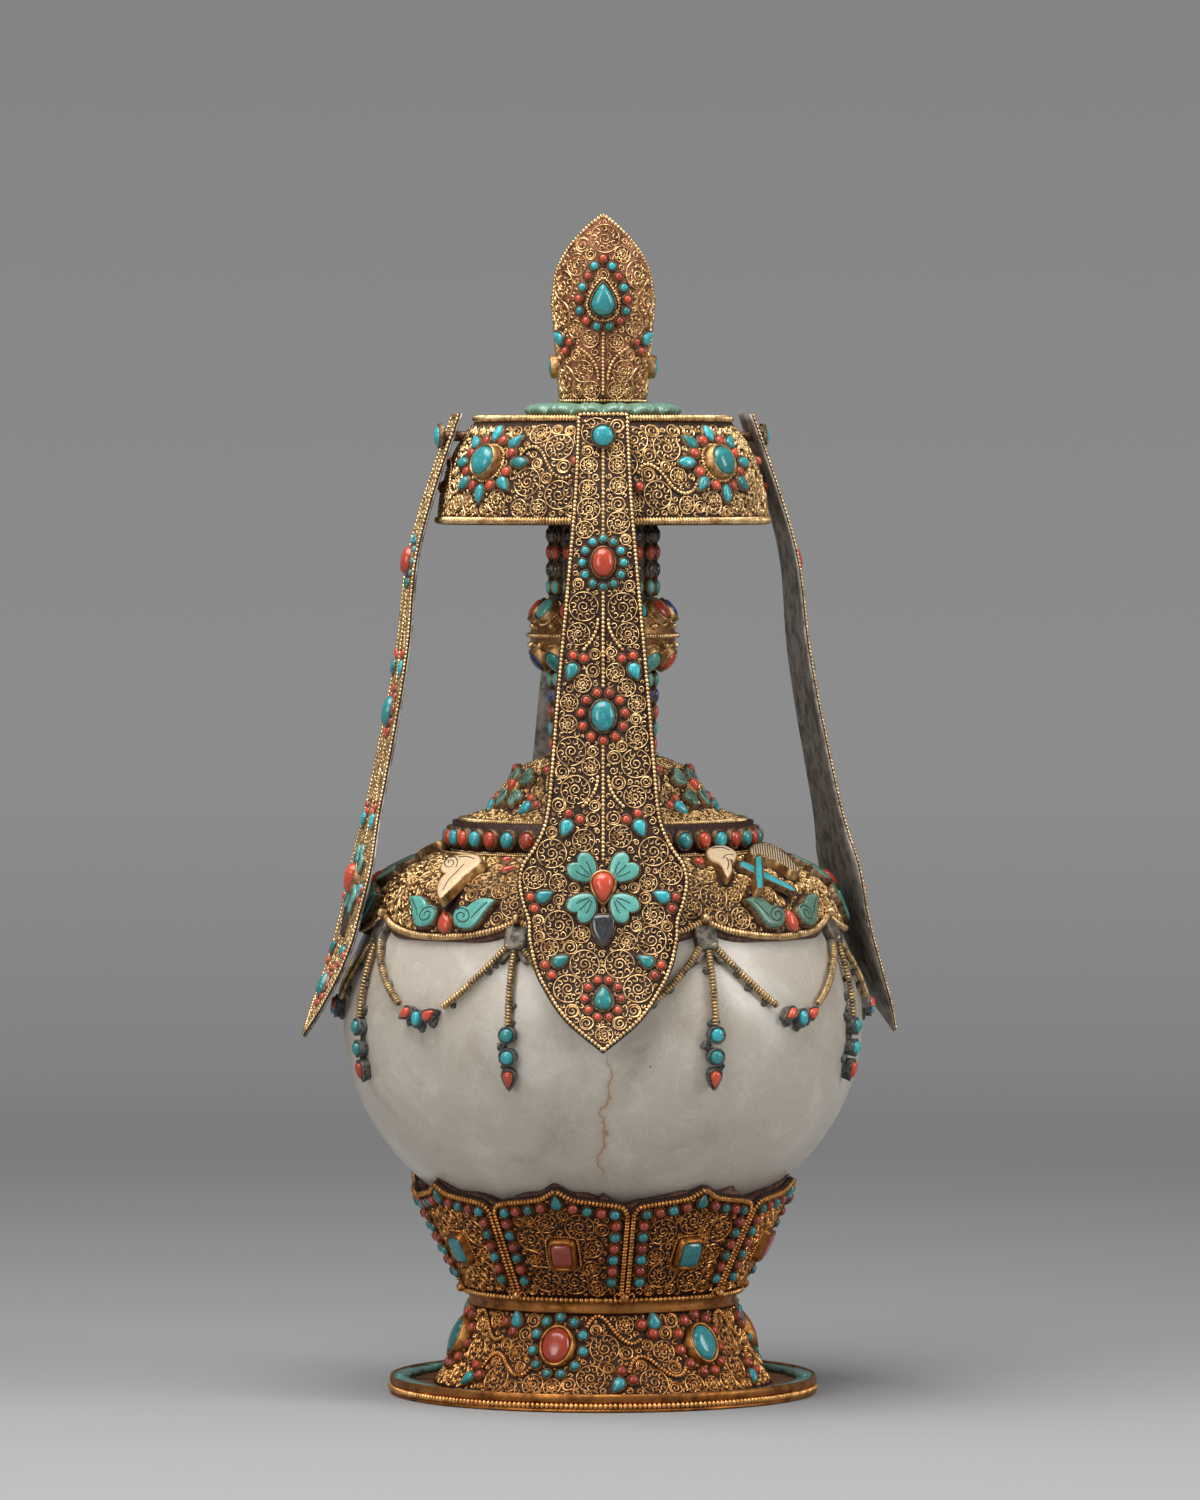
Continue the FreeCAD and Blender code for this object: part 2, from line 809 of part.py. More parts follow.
def bulb_stones(upper_starts, lower_starts):
    """Every second large stone of the bulb's rows, from each place given to a row."""
    oval = stone(bulb_stone_width, bulb_stone_height, bulb_stone_rise)
    step = 360.0 / bulb_stones_per_row
    upper = on_line(oval, bulb_line(), stem_level - bulb_cone_height / 2)
    lower = on_line(oval, bulb_line(), bulb_level + bulb_cone_height / 2)
    placed = []
    for start in upper_starts:
        placed += around(upper, bulb_stones_per_row // 2, start * step)
    for start in lower_starts:
        placed += around(lower, bulb_stones_per_row // 2, (start + 0.5) * step)
    return group(placed)


def stopper_plug():
    bottom = V(0, 0, stem_level - plug_length)
    return Part.makeCylinder(bore_radius - plug_clearance, plug_length, bottom)


def stopper_stem():
    top = crown_plate_level
    return turned_form([(0, stem_level), (stem_radius, stem_level), (stem_radius, top), (0, top)])


def crown_wall():
    """Dome-shaped ring with a rolled lower rim and four pin holes."""
    line = crown_line()
    bottom = line[0][1]
    rim_top = bottom + crown_rim_height
    inner = [(radius - crown_wall_thickness, height) for radius, height in line[::-1]]
    rim_radius = crown_bottom_radius + crown_rim_reach
    outer = [(rim_radius, bottom), (rim_radius, rim_top), (along(line, rim_top)[0], rim_top)]
    hole = pin_cylinder(pin_radius + pin_clearance, 0, crown_bottom_radius)
    holes = [turned(hole, azimuth) for azimuth in lappet_azimuths.values()]
    return turned_form(outer + line[1:] + inner).cut(holes)


def crown_top():
    """Plate that closes the crown and stands on the stem."""
    def inside(height):
        return along(crown_line(), height)[0] - crown_wall_thickness
    return turned_form([
        (0, crown_plate_level), (inside(crown_plate_level), crown_plate_level),
        (inside(crown_level), crown_level), (0, crown_level),
    ])


def crown_pieces(piece, lift=0.0):
    level = crown_level - crown_stone_drop
    return group([on_line(piece, crown_line(), level, a, lift=lift) for a in crown_rosette_azimuths])


def crown_bezels():
    margin = 2 * crown_setting_margin
    outline = ellipse_points(crown_stone_width + margin, crown_stone_height + margin, stone_side_count)
    return crown_pieces(tapered(outline, high_setting_thickness, setting_top_share))


def crown_turquoise():
    return crown_pieces(stone(crown_stone_width, crown_stone_height), high_setting_thickness)


def lotus_ring():
    """Disc with a petalled edge that carries the feather socket."""
    points = []
    for k in range(2 * lotus_petals):
        radius = lotus_radius - lotus_petal_depth * (k % 2)
        angle = math.pi * k / lotus_petals
        points.append((radius * math.cos(angle), radius * math.sin(angle)))
    return prism(points, lotus_height, crown_level)


def finial_line():
    return [
        (finial_base_radius, finial_level), (finial_wide_radius, finial_level + finial_wide_height),
        (finial_top_radius, finial_level + finial_height),
    ]


def finial():
    """Tube for feathers and grass, open above between a front and a back leaf."""
    line = finial_line()
    inner = [(radius - finial_wall, height) for radius, height in line[::-1]]
    side = finial_level + finial_side_height
    tip = finial_level + finial_height
    wide = finial_wide_radius
    reach = 2 * wide
    shoulder = finial_level + finial_wide_height
    arc_middle = finial_leaf_middle[0] * wide
    arc_level = shoulder + finial_leaf_middle[1] * (tip - shoulder)
    right = Part.Arc(V(wide, reach, shoulder), V(arc_middle, reach, arc_level), V(0, reach, tip)).toShape()
    left = Part.Arc(V(0, reach, tip), V(-arc_middle, reach, arc_level), V(-wide, reach, shoulder)).toShape()
    base = Part.makePolygon([
        V(-wide, reach, shoulder), V(-wide, reach, finial_level),
        V(wide, reach, finial_level), V(wide, reach, shoulder),
    ])
    leaf = Part.Face(Part.Wire([right, left] + base.Edges)).extrude(V(0, -2 * reach, 0))
    slot = Part.makeBox(2 * reach, 2 * finial_wall, finial_height, V(-reach, -finial_wall, side))
    return turned_form(line + inner).common(leaf).cut(slot)


def finial_drops():
    turquoise = drop(finial_stone_width, finial_stone_height)
    placed = on_line(turquoise, finial_line(), finial_level + finial_stone_level)
    return group(around(placed, 2))


def lappet_line(shift=0.0):
    """Plate's line as (radius, height) points from bottom to top, moved outwards by a shift."""
    at_pin = along(lappet_curve, lappet_top - pin_level)[0]
    start = along(crown_line(), pin_level)[0] + lappet_setback - at_pin + shift
    return [(start + out, lappet_top - drop) for out, drop in lappet_curve[::-1]]


def pin_cylinder(radius, near, far):
    return Part.makeCylinder(radius, far - near, V(0, -near, pin_level), V(0, -1, 0))


def lappet_plate():
    """Curved sheet cut to the lappet's outline, with the pin's hole."""
    outer = lappet_line(lappet_thickness / 2)
    inner = lappet_line(-lappet_thickness / 2)
    widest = max(half for half, _ in lappet_outline)
    section = polygon_face([V(-widest, -r, z) for r, z in outer + inner[::-1]])
    sheet = section.extrude(V(2 * widest, 0, 0))
    outline = [(half, lappet_top - drop) for half, drop in lappet_outline]
    left = [(-x, z) for x, z in outline[::-1] if x > 0]
    furthest = outer[0][0] + lappet_thickness
    cookie = radial_prism(outline + left, crown_top_radius / 2, furthest)
    return sheet.common(cookie).cut(pin_cylinder(pin_radius, 0, furthest))


def lappet_pin():
    """Pin with a washer inside the crown and a round setting outside the plate."""
    at_pin = along(lappet_line(), pin_level)[0]
    wall = along(crown_line(), pin_level + pin_washer_radius)[0] - crown_wall_thickness
    inside = wall - pin_washer_gap
    outside = at_pin + pin_head_reach
    upright = (0, 1)
    discs = []
    for radius, thickness, place in (
        (pin_washer_radius, pin_washer_thickness, inside - pin_washer_thickness),
        (pin_head_radius, pin_head_thickness, outside),
    ):
        disc = prism(ellipse_points(2 * radius, 2 * radius, stone_side_count), thickness)
        discs.append(seated(disc, place, pin_level, upright))
    rod = pin_cylinder(pin_radius, inside - pin_washer_thickness, outside)
    return rod.fuse(discs).removeSplitter()


def on_lappet(piece, fall, offset=0.0, lift=0.0):
    face = lappet_line(lappet_thickness / 2)
    return on_line(piece, face, lappet_top - fall, offset=offset, lift=lift)


def lappet_coral():
    """Coral oval near the crown and the coral heart of the flower."""
    oval_drop, oval_width, oval_height = lappet_coral_oval
    heart_drop, heart_width, heart_height = lappet_flower_heart
    return group([
        on_lappet(stone(oval_width, oval_height), oval_drop),
        on_lappet(drop(heart_width, heart_height), heart_drop, lift=flower_thickness),
    ])


def lappet_turquoise():
    """Pin's cabochon, oval, flower, low drop and side drops."""
    pin_stone = stone(2 * pin_head_radius, 2 * pin_head_radius, pin_stone_rise)
    setting = along(lappet_line(), pin_level)[0] + pin_head_reach + pin_head_thickness
    oval_drop, oval_width, oval_height = lappet_turquoise_oval
    flower = prism(flower_points(lappet_flower_radius, lappet_flower_waist), flower_thickness)
    low_rise, low_width, low_height = lappet_low_stone
    tip_drop = lappet_outline[-1][1]
    side = drop(lappet_side_drop_width, lappet_side_drop_height, small_stone_rise)
    stones = [
        seated(pin_stone, setting, pin_level, (0, 1)),
        on_lappet(stone(oval_width, oval_height), oval_drop),
        on_lappet(flower, lappet_flower_heart[0]),
        on_lappet(drop(low_width, low_height), tip_drop - low_rise),
    ]
    for offset, fall in lappet_side_drops:
        stones += [on_lappet(side, fall, way * offset) for way in (-1, 1)]
    return group(stones)


def all_nodes():
    """Every sub-part by its name."""
    nodes = {
        "foot_flange": foot_flange(),
        "flange_inlay": flange_inlay(),
        "foot_cone": foot_cone(),
        "foot_bezels": foot_bezels(),
        "foot_coral": foot_stones(0),
        "foot_turquoise": foot_stones(1),
        "waist_plate": waist_plate(),
        "petal_cup": petal_cup(),
        "petal_ribs": petal_ribs(),
        "petal_bezels": petal_bezels(),
        "petal_coral": petal_stones(0),
        "petal_turquoise": petal_stones(1),
        "cup_bedding": cup_bedding(),
        "crystal_body": crystal_body(),
        "shoulder_dome": shoulder_dome(),
        "shoulder_scrolls": shoulder_scrolls(),
        "shoulder_drops": shoulder_drops(),
        "shoulder_emblems": shoulder_emblems(),
        "swag_clips": swag_clips(),
        "swag_wires": swag_wires(),
        "swag_settings": swag_settings(),
        "swag_coral": swag_stones((-1, 1), (2,)),
        "swag_turquoise": swag_stones((0,), (0, 1)),
        "collar_band": collar_band(),
        "collar_coral": collar_row(0),
        "collar_turquoise": collar_row(1),
        "neck": neck(),
        "neck_flowers": neck_flowers(),
        "neck_flower_centres": neck_flower_centres(),
        "bulb": bulb(),
        "bulb_turquoise": bulb_stones((0,), (0,)),
        "bulb_coral": bulb_stones((1,), ()),
        "bulb_lapis": bulb_stones((), (1,)),
        "stopper_plug": stopper_plug(),
        "stopper_stem": stopper_stem(),
        "crown_wall": crown_wall(),
        "crown_top": crown_top(),
        "crown_bezels": crown_bezels(),
        "crown_turquoise": crown_turquoise(),
        "lotus_ring": lotus_ring(),
        "finial": finial(),
        "finial_drops": finial_drops(),
    }
    lappet = {
        "plate": lappet_plate(),
        "pin": lappet_pin(),
        "coral": lappet_coral(),
        "turquoise": lappet_turquoise(),
    }
    for name, azimuth in lappet_azimuths.items():
        for piece, shape in lappet.items():
            nodes[f"lappet_{name}_{piece}"] = turned(shape, azimuth)
    return nodes


os.makedirs("parts", exist_ok=True)
for node, shape in all_nodes().items():
    shape.exportStep(f"parts/{node}.step")
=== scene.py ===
import math

import bpy
import numpy as np
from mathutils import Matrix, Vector


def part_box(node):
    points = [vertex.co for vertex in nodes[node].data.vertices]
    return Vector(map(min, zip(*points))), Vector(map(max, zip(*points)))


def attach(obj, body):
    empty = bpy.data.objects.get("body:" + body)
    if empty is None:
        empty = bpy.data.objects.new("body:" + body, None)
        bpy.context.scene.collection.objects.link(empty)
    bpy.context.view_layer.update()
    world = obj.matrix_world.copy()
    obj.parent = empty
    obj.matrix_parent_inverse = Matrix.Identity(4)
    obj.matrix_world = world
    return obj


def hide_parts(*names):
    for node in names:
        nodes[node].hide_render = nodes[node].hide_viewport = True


# Tibetan bumpa vase. Lengths here are millimetres; put() turns them into metres.
# Azimuths are degrees from the front, positive to the right.

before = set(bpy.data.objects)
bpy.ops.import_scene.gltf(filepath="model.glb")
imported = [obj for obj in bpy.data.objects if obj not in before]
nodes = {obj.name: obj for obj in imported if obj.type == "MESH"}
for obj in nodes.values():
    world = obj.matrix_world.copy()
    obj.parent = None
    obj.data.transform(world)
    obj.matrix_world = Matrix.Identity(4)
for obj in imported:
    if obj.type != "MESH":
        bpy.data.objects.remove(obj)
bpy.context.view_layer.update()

MM = 0.001
TAU = 2 * math.pi

# Wires and beads
wire_width = 0.37
wire_height = 0.55
wire_sink = 0.25
wire_step = 0.42
bead_radius = 0.63
bead_pitch = 1.24
bead_valley = 0.2
coil_radius = 0.95
coil_pitch = 0.97
room_reach = 6.0
high_setting = 1.9
room_step = 0.3

# Camera
eye_level = 276.0
eye_distance = 2750.0

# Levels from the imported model
foot_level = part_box("foot_cone")[0].z / MM
waist_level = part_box("waist_plate")[0].z / MM
cup_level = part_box("petal_cup")[0].z / MM
cup_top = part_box("petal_cup")[1].z / MM
shoulder_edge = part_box("shoulder_dome")[0].z / MM
collar_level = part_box("collar_band")[0].z / MM
neck_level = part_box("neck")[0].z / MM
bulb_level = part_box("bulb")[0].z / MM
stem_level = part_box("stopper_stem")[0].z / MM
crown_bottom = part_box("crown_wall")[0].z / MM
crown_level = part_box("crown_wall")[1].z / MM
finial_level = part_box("finial")[0].z / MM
finial_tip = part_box("finial")[1].z / MM


def unit(vectors):
    return vectors / np.maximum(np.linalg.norm(vectors, axis=-1, keepdims=True), 1e-9)


def spun(points, azimuth):
    """Points turned about the vase's axis."""
    angle = math.radians(azimuth)
    cos, sin = math.cos(angle), math.sin(angle)
    points = np.asarray(points, float)
    x, y, z = points[..., 0], points[..., 1], points[..., 2]
    return np.stack([x * cos - y * sin, x * sin + y * cos, z], axis=-1)


def smoothed(points, per_span=8):
    """Smooth line through points."""
    points = np.asarray(points, float)
    ends = np.vstack([2 * points[0] - points[1], points, 2 * points[-1] - points[-2]])
    t = np.linspace(0, 1, per_span, endpoint=False)[:, None]
    line = []
    for a, b, c, d in zip(ends, ends[1:], ends[2:], ends[3:]):
        line.append(0.5 * (2 * b + (c - a) * t + (2 * a - 5 * b + 4 * c - d) * t**2
                           + (3 * b - a - 3 * c + d) * t**3))
    return np.vstack(line + [points[-1:]])


def even(path, step, closed=False):
    """The same path with evenly spaced points."""
    path = np.asarray(path, float)
    if closed:
        path = np.vstack([path, path[:1]])
    run = np.concatenate([[0], np.cumsum(np.linalg.norm(np.diff(path, axis=0), axis=1))])
    count = max(2, int(round(run[-1] / step)))
    places = np.linspace(0, run[-1], count + 1)
    if closed:
        places = places[:-1]
    return np.stack([np.interp(places, run, path[:, k]) for k in range(path.shape[1])], axis=1)


class Heap:
    """Points and faces of one piece."""

    def __init__(self):
        self.points, self.faces, self.count = [], [], 0

    def add(self, points, faces):
        points = np.asarray(points, float).reshape(-1, 3)
        self.points.append(points)
        for face in faces:
            self.faces.append(np.asarray(face, int).reshape(-1, np.asarray(face).shape[-1]) + self.count)
        self.count += len(points)

    def spun(self, azimuth):
        copy = Heap()
        copy.points = [spun(p, azimuth) for p in self.points]
        copy.faces, copy.count = self.faces, self.count
        return copy


def put(name, heap, body, slot, material, replaces=()):
    """Makes one piece from a heap and lets it ride on a body."""
    mesh = bpy.data.meshes.new(name)
    points = np.concatenate(heap.points) * MM
    mesh.vertices.add(len(points))
    mesh.vertices.foreach_set("co", points.ravel())
    corners = np.concatenate([f.ravel() for f in heap.faces])
    sizes = np.concatenate([np.full(len(f), f.shape[1]) for f in heap.faces])
    mesh.loops.add(len(corners))
    mesh.loops.foreach_set("vertex_index", corners)
    mesh.polygons.add(len(sizes))
    mesh.polygons.foreach_set("loop_start", np.concatenate([[0], np.cumsum(sizes)[:-1]]))
    mesh.polygons.foreach_set("use_smooth", np.ones(len(sizes), bool))
    mesh.update(calc_edges=True)
    mesh.validate()
    mesh.materials.append(material)
    piece = bpy.data.objects.new(name, mesh)
    bpy.context.scene.collection.objects.link(piece)
    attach(piece, body)
    if replaces:
        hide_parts(*replaces)
    return piece


def gilt(name, heap, body, material, replaces=()):
    return put(name, heap, body, "gilt_brass", materials[material], replaces)


def grid_faces(rows, columns, closed_rows=False, closed_columns=False):
    i = np.arange(rows if closed_rows else rows - 1)
    j = np.arange(columns if closed_columns else columns - 1)
    i, j = np.meshgrid(i, j, indexing="ij")
    below, beside = (i + 1) % rows, (j + 1) % columns
    return np.stack([i * columns + j, i * columns + beside, below * columns + beside, below * columns + j],
                    axis=-1).reshape(-1, 4)


def tube_rings(path, normals, section, growth=None, closed=False):
    """Rings of a section of (across, out) points along a path lying on a surface."""
    if closed:
        way = unit(np.roll(path, -1, 0) - np.roll(path, 1, 0))
    else:
        way = unit(np.vstack([path[1:], path[-1:]]) - np.vstack([path[:1], path[:-1]]))
    across = unit(np.cross(way, normals))
    out = np.cross(across, way)
    growth = np.ones(len(path)) if growth is None else growth
    ring = across[:, None] * section[None, :, :1] + out[:, None] * section[None, :, 1:]
    return path[:, None] + growth[:, None, None] * ring


def circle_section(radius, sides):
    turn = math.pi - np.arange(sides) * TAU / sides
    return np.stack([radius * np.cos(turn), radius * np.sin(turn)], axis=1)


wire_section = np.array([
    (-wire_width / 2, -wire_sink), (-wire_width * 0.3, wire_height * 0.8),
    (wire_width * 0.3, wire_height * 0.8), (wire_width / 2, -wire_sink),
])


def beaded(heap, path, normals, radius=bead_radius, pitch=bead_pitch, closed=False, lift=None):
    """Wire of separate beads or ribs along a path."""
    both = even(np.hstack([path, normals]), pitch / 4, closed)
    count = len(both) // 4 if closed else (len(both) - 1) // 4
    path, normals = both[:, :3], unit(both[:, 3:])
    path = path + normals * (radius * 0.6 if lift is None else lift)
    valley = max(bead_valley, 0.9 - pitch / (2 * radius))
    swell = np.array([valley, 0.9 + 0.1 * valley, 1.0, 0.9 + 0.1 * valley])
    sides = 8 if radius > 0.8 else 6
    rings = tube_rings(path, normals, circle_section(radius, sides), swell[np.arange(len(path)) % 4], closed)
    rows = (4 * np.arange(count)[:, None] + np.arange(5)) % len(rings)
    points = rings[rows]
    if closed:
        points[-1, -1] = rings[0]
    faces = grid_faces(5, sides, closed_columns=True)[None] + (5 * sides * np.arange(count))[:, None, None]
    heap.add(points, [faces.reshape(-1, 4)])


class Surface:
    """Curved surface with positions of (a, v): along and up, v in millimetres."""

    def __init__(self, line, turning=True):
        self.line = np.asarray(line, float)
        self.arc = np.concatenate([[0], np.cumsum(np.linalg.norm(np.diff(self.line, axis=0), axis=1))])
        slope = unit(np.gradient(self.line, self.arc, axis=0))
        self.normal = np.stack([slope[:, 1], -slope[:, 0]], axis=1)
        self.turning = turning
        self.length = self.arc[-1]

    def scale(self, v):
        """Millimetres to one unit of a."""
        if not self.turning:
            return np.ones_like(np.asarray(v, float))
        return math.radians(1) * np.interp(v, self.arc, self.line[:, 0])

    def at(self, a, v, lift=0.0):
        a, v = np.broadcast_arrays(np.asarray(a, float), np.asarray(v, float))
        r = np.interp(v, self.arc, self.line[:, 0])
        z = np.interp(v, self.arc, self.line[:, 1])
        out = np.interp(v, self.arc, self.normal[:, 0])
        up = np.interp(v, self.arc, self.normal[:, 1])
        r, z = r + lift * out, z + lift * up
        if self.turning:
            angle = np.radians(a)
            return np.stack([r * np.sin(angle), -r * np.cos(angle), z], axis=-1)
        return np.stack([a, -r, z], axis=-1)

    def normals(self, a, v):
        return unit(self.at(a, v, 1.0) - self.at(a, v, 0.0))

    def frame(self, a, v, lift=0.0):
        """Point with its across, up and outward directions."""
        centre = self.at(a, v, lift)
        out = self.normals(a, v)
        up = unit(self.at(a, v + 0.2) - self.at(a, v - 0.2))
        return centre, np.cross(up, out), up, out

    def level(self, z):
        """v of a height."""
        order = np.argsort(self.line[:, 1])
        return float(np.interp(z, self.line[order, 1], self.arc[order]))

    def local(self, a, v, path):
        """(a, v) of a path given in millimetres round (a, v)."""
        path = np.asarray(path, float)
        up = v + path[:, 1]
        return a + path[:, 0] / self.scale(up), up


def strip(heap, surface, a, v):
    """Wire laid on a surface along (a, v) points."""
    rings = tube_rings(surface.at(a, v), surface.normals(a, v), wire_section)
    heap.add(rings, [grid_faces(len(rings), len(wire_section))])


def bead_line(heap, surface, points, closed=False, radius=bead_radius, pitch=bead_pitch, lift=None):
    """Beaded wire on a surface along (a, v) points."""
    points = np.asarray(points, float)
    a, v = points[:, 0], points[:, 1]
    beaded(heap, surface.at(a, v), surface.normals(a, v), radius, pitch, closed, lift=lift)


# Filigree: circles of falling size touch each other and fill the surface, a scroll in each

def rooms(surface, a_range, v_range, room_at):
    """Grid of positions with the room round each."""
    v = np.arange(v_range[0] + room_step / 2, v_range[1], room_step)
    width = (a_range[1] - a_range[0]) * float(np.mean(surface.scale(v)))
    count = int(width / room_step)
    a = a_range[0] + (a_range[1] - a_range[0]) * (np.arange(count) + 0.5) / count
    a, v = np.meshgrid(a, v)
    return a, v, room_at(a, v)


def packed_circles(surface, a, v, room, sizes, rng, wraps):
    """(a, v, radius) of circles, large ones first, each touching what is there."""
    circles = []
    rows, columns = a.shape
    step_a = a[0, 1] - a[0, 0]
    scale = surface.scale(v[:, 0])
    jitter = rng.uniform(0, 0.25, a.shape)
    for size in sizes:
        reach = 2.4 * size
        while True:
            score = np.where(room >= size, room + jitter, np.inf)
            place = int(score.argmin())
            i, j = divmod(place, columns)
            if not np.isfinite(score[i, j]):
                break
            radius = min(room[i, j], 1.15 * size)
            circles.append((a[i, j], v[i, j], radius))
            half_rows = int(reach / room_step) + 1
            half_columns = int(reach / (scale[i] * step_a)) + 1
            ii = np.arange(max(0, i - half_rows), min(rows, i + half_rows + 1))
            jj = np.arange(j - half_columns, j + half_columns + 1)
            if wraps:
                jj = np.unique(jj % columns)
            else:
                jj = jj[(jj >= 0) & (jj < columns)]
            window = np.ix_(ii, jj)
            da = a[window] - a[i, j]
            if wraps:
                da = (da + 180) % 360 - 180
            gap = np.hypot(da * scale[ii][:, None], v[window] - v[i, j]) - radius
            room[window] = np.minimum(room[window], gap)
    return circles


def arc_path(radius, start, turn, end_radius=None, x=0.0, y=0.0):
    """Arc or spiral in millimetres, from one radius to another."""
    end_radius = radius if end_radius is None else end_radius
    length = abs(turn) * (radius + end_radius) / 2
    count = max(5, int(length / wire_step))
    t = np.linspace(0, 1, count + 1)
    reach = radius + (end_radius - radius) * t
    angle = start + turn * t
    return np.stack([x + reach * np.cos(angle), y + reach * np.sin(angle)], axis=1)


def scroll_paths(radius, rng):
    """Wires of one scroll that fills a circle."""
    start = rng.uniform(0, TAU)
    hand = rng.choice([-1, 1])
    rim = radius - wire_width / 2
    if radius < 1.05:
        return [arc_path(rim, start, hand * 4.6, rim * 0.75)]
    if radius < 1.75:
        return [arc_path(rim, start, hand * 7.6, 0.28 * rim)]
    if radius < 2.7:
        return [arc_path(rim, start, hand * 6.0), arc_path(rim - 0.1, start + 0.6, hand * 9.5, 0.35)]
    curl = 0.2 * radius
    ring = rim - curl - wire_width
    count = int(TAU * ring / (2.15 * curl))
    paths = [arc_path(rim, start, TAU * 0.97)]
    for k in range(count):
        turn = start + hand * TAU * k / count
        x, y = ring * math.cos(turn), ring * math.sin(turn)
        paths.append(arc_path(curl, turn + hand * 0.4, hand * 4.4, curl * 0.6, x, y))
    inner = ring - curl - wire_width * 0.6
    paths.append(arc_path(inner, start, hand * 3.0 * math.pi, 0.4))
    return paths


filigree_sizes = (4.4, 3.4, 2.7, 2.15, 1.75, 1.4, 1.15, 0.95, 0.78, 0.62)


def filigree(surface, a_range, v_range, room_at, seed, wraps=False, sizes=filigree_sizes):
    rng = np.random.default_rng(seed)
    a, v, room = rooms(surface, a_range, v_range, room_at)
    heap = Heap()
    for centre_a, centre_v, radius in packed_circles(surface, a, v, room, sizes, rng, wraps):
        for path in scroll_paths(radius, rng):
            pa, pv = surface.local(centre_a, centre_v, path)
            strip(heap, surface, pa, np.clip(pv, 0, surface.length))
    return heap


def segment_room(surface, a, v, points, half_width, closed=False):
    """Distance from positions to a line of (a, v) points, less its half width."""
    points = np.asarray(points, float)
    if closed:
        points = np.vstack([points, points[:1]])
    scale = surface.scale(v)
    best = np.full(a.shape, np.inf)
    for (a0, v0), (a1, v1) in zip(points, points[1:]):
        x, y = (a - a0) * scale, v - v0
        ex, ey = (a1 - a0) * scale, v1 - v0
        t = np.clip((x * ex + y * ey) / np.maximum(ex**2 + ey**2, 1e-9), 0, 1)
        best = np.minimum(best, np.hypot(x - t * ex, y - t * ey))
    return best - half_width


def circle_room(surface, a, v, circles, wraps=True):
    """Distance from positions to the nearest circle's rim, up to room_reach."""
    scale = surface.scale(v[:, 0])
    best = np.full(a.shape, room_reach)
    for ca, cv, radius in circles:
        da = a[0] - ca
        if wraps and surface.turning:
            da = (da + 180) % 360 - 180
        rows = np.nonzero(np.abs(v[:, 0] - cv) < radius + room_reach)[0]
        if not len(rows):
            continue
        columns = np.nonzero(np.abs(da) * scale[rows].max() < (radius + room_reach) * 1.3)[0]
        window = np.ix_(rows, columns)
        gap = np.hypot(da[columns] * scale[rows][:, None], v[window] - cv) - radius
        best[window] = np.minimum(best[window], gap)
    return best


# Stones and their settings

def oval_outline(width, height, count=20):
    angle = np.arange(count) * TAU / count
    return np.stack([width / 2 * np.cos(angle), height / 2 * np.sin(angle)], axis=1)


def drop_outline(width, height, count=20):
    """Drop pointed towards +y."""
    angle = np.arange(count) * TAU / count
    pull = np.clip(np.sin(angle), 0, 1)
    x = width / 2 * np.cos(angle) * (1 - 0.45 * pull**2)
    y = np.where(np.sin(angle) > 0, (height - width / 2) * pull**1.25, width / 2 * np.sin(angle))
    return np.stack([x, y - (height - width) / 2], axis=1)


def marquise_outline(width, height, count=20):
    angle = np.arange(count) * TAU / count
    x = width / 2 * np.sign(np.cos(angle)) * np.abs(np.cos(angle)) ** 1.35
    return np.stack([x, height / 2 * np.sin(angle)], axis=1)


def box_outline(width, height, count=20):
    angle = (np.arange(count) + 0.5) * TAU / count
    x = np.sign(np.cos(angle)) * np.abs(np.cos(angle)) ** 0.35
    y = np.sign(np.sin(angle)) * np.abs(np.sin(angle)) ** 0.35
    return np.stack([width / 2 * x, height / 2 * y], axis=1)


def turned_outline(outline, angle):
    cos, sin = math.cos(math.radians(angle)), math.sin(math.radians(angle))
    return outline @ np.array([(cos, sin), (-sin, cos)])


petal_shape = ((0, -0.5), (0.26, -0.34), (0.46, -0.02), (0.5, 0.26), (0.36, 0.48), (0.14, 0.47), (0, 0.32))


def mirrored_outline(points, width, height, per_span=3):
    """Smooth closed outline from its right half, given from bottom to top."""
    right = smoothed(points, per_span)
    left = right[::-1][1:-1] * (-1, 1)
    return np.vstack([right, left]) * (width, height)


dome_rings = ((1.0, -0.15), (1.0, 0.25), (0.93, 0.55), (0.78, 0.8), (0.5, 0.95), (0.2, 1.0))
step_rings = ((1.0, -0.15), (1.0, 0.55), (0.72, 1.0), (0.4, 1.0), (0.1, 1.0))
flat_rings = ((1.0, -0.15), (1.0, 0.75), (0.93, 0.95), (0.6, 1.0), (0.2, 1.0))
carved_rings = ((1.0, -0.15), (1.0, 0.5), (0.92, 0.85), (0.76, 1.0), (0.5, 0.72), (0.16, 0.95))
deep_rings = ((0.86, -0.3), (0.95, 0.5), (1.0, 0.95), (0.92, 1.0), (0.8, 0.85))
clip_rings = ((1.0, -0.1), (1.03, 0.6), (0.93, 1.0), (0.6, 0.72), (0.3, 0.95))


def raised(heap, place, outline, rise, rings=dome_rings):
    """Stone or ornament that rises from its outline, seated on a (centre, across, up, out) place."""
    centre, across, up, out = place
    middle = outline.mean(axis=0)
    levels = []
    for share, height in rings:
        flat = middle + (outline - middle) * share
        levels.append(centre + flat[:, :1] * across + flat[:, 1:] * up + height * rise * out)
    top = centre + middle[0] * across + middle[1] * up + rings[-1][1] * rise * out
    points = np.concatenate(levels + [top[None]])
    count, rows = len(outline), len(rings)
    last = (rows - 1) * count
    k = np.arange(count)
    cap = np.stack([last + k, last + (k + 1) % count, np.full(count, rows * count)], axis=1)
    heap.add(points, [grid_faces(rows, count, closed_columns=True), cap])


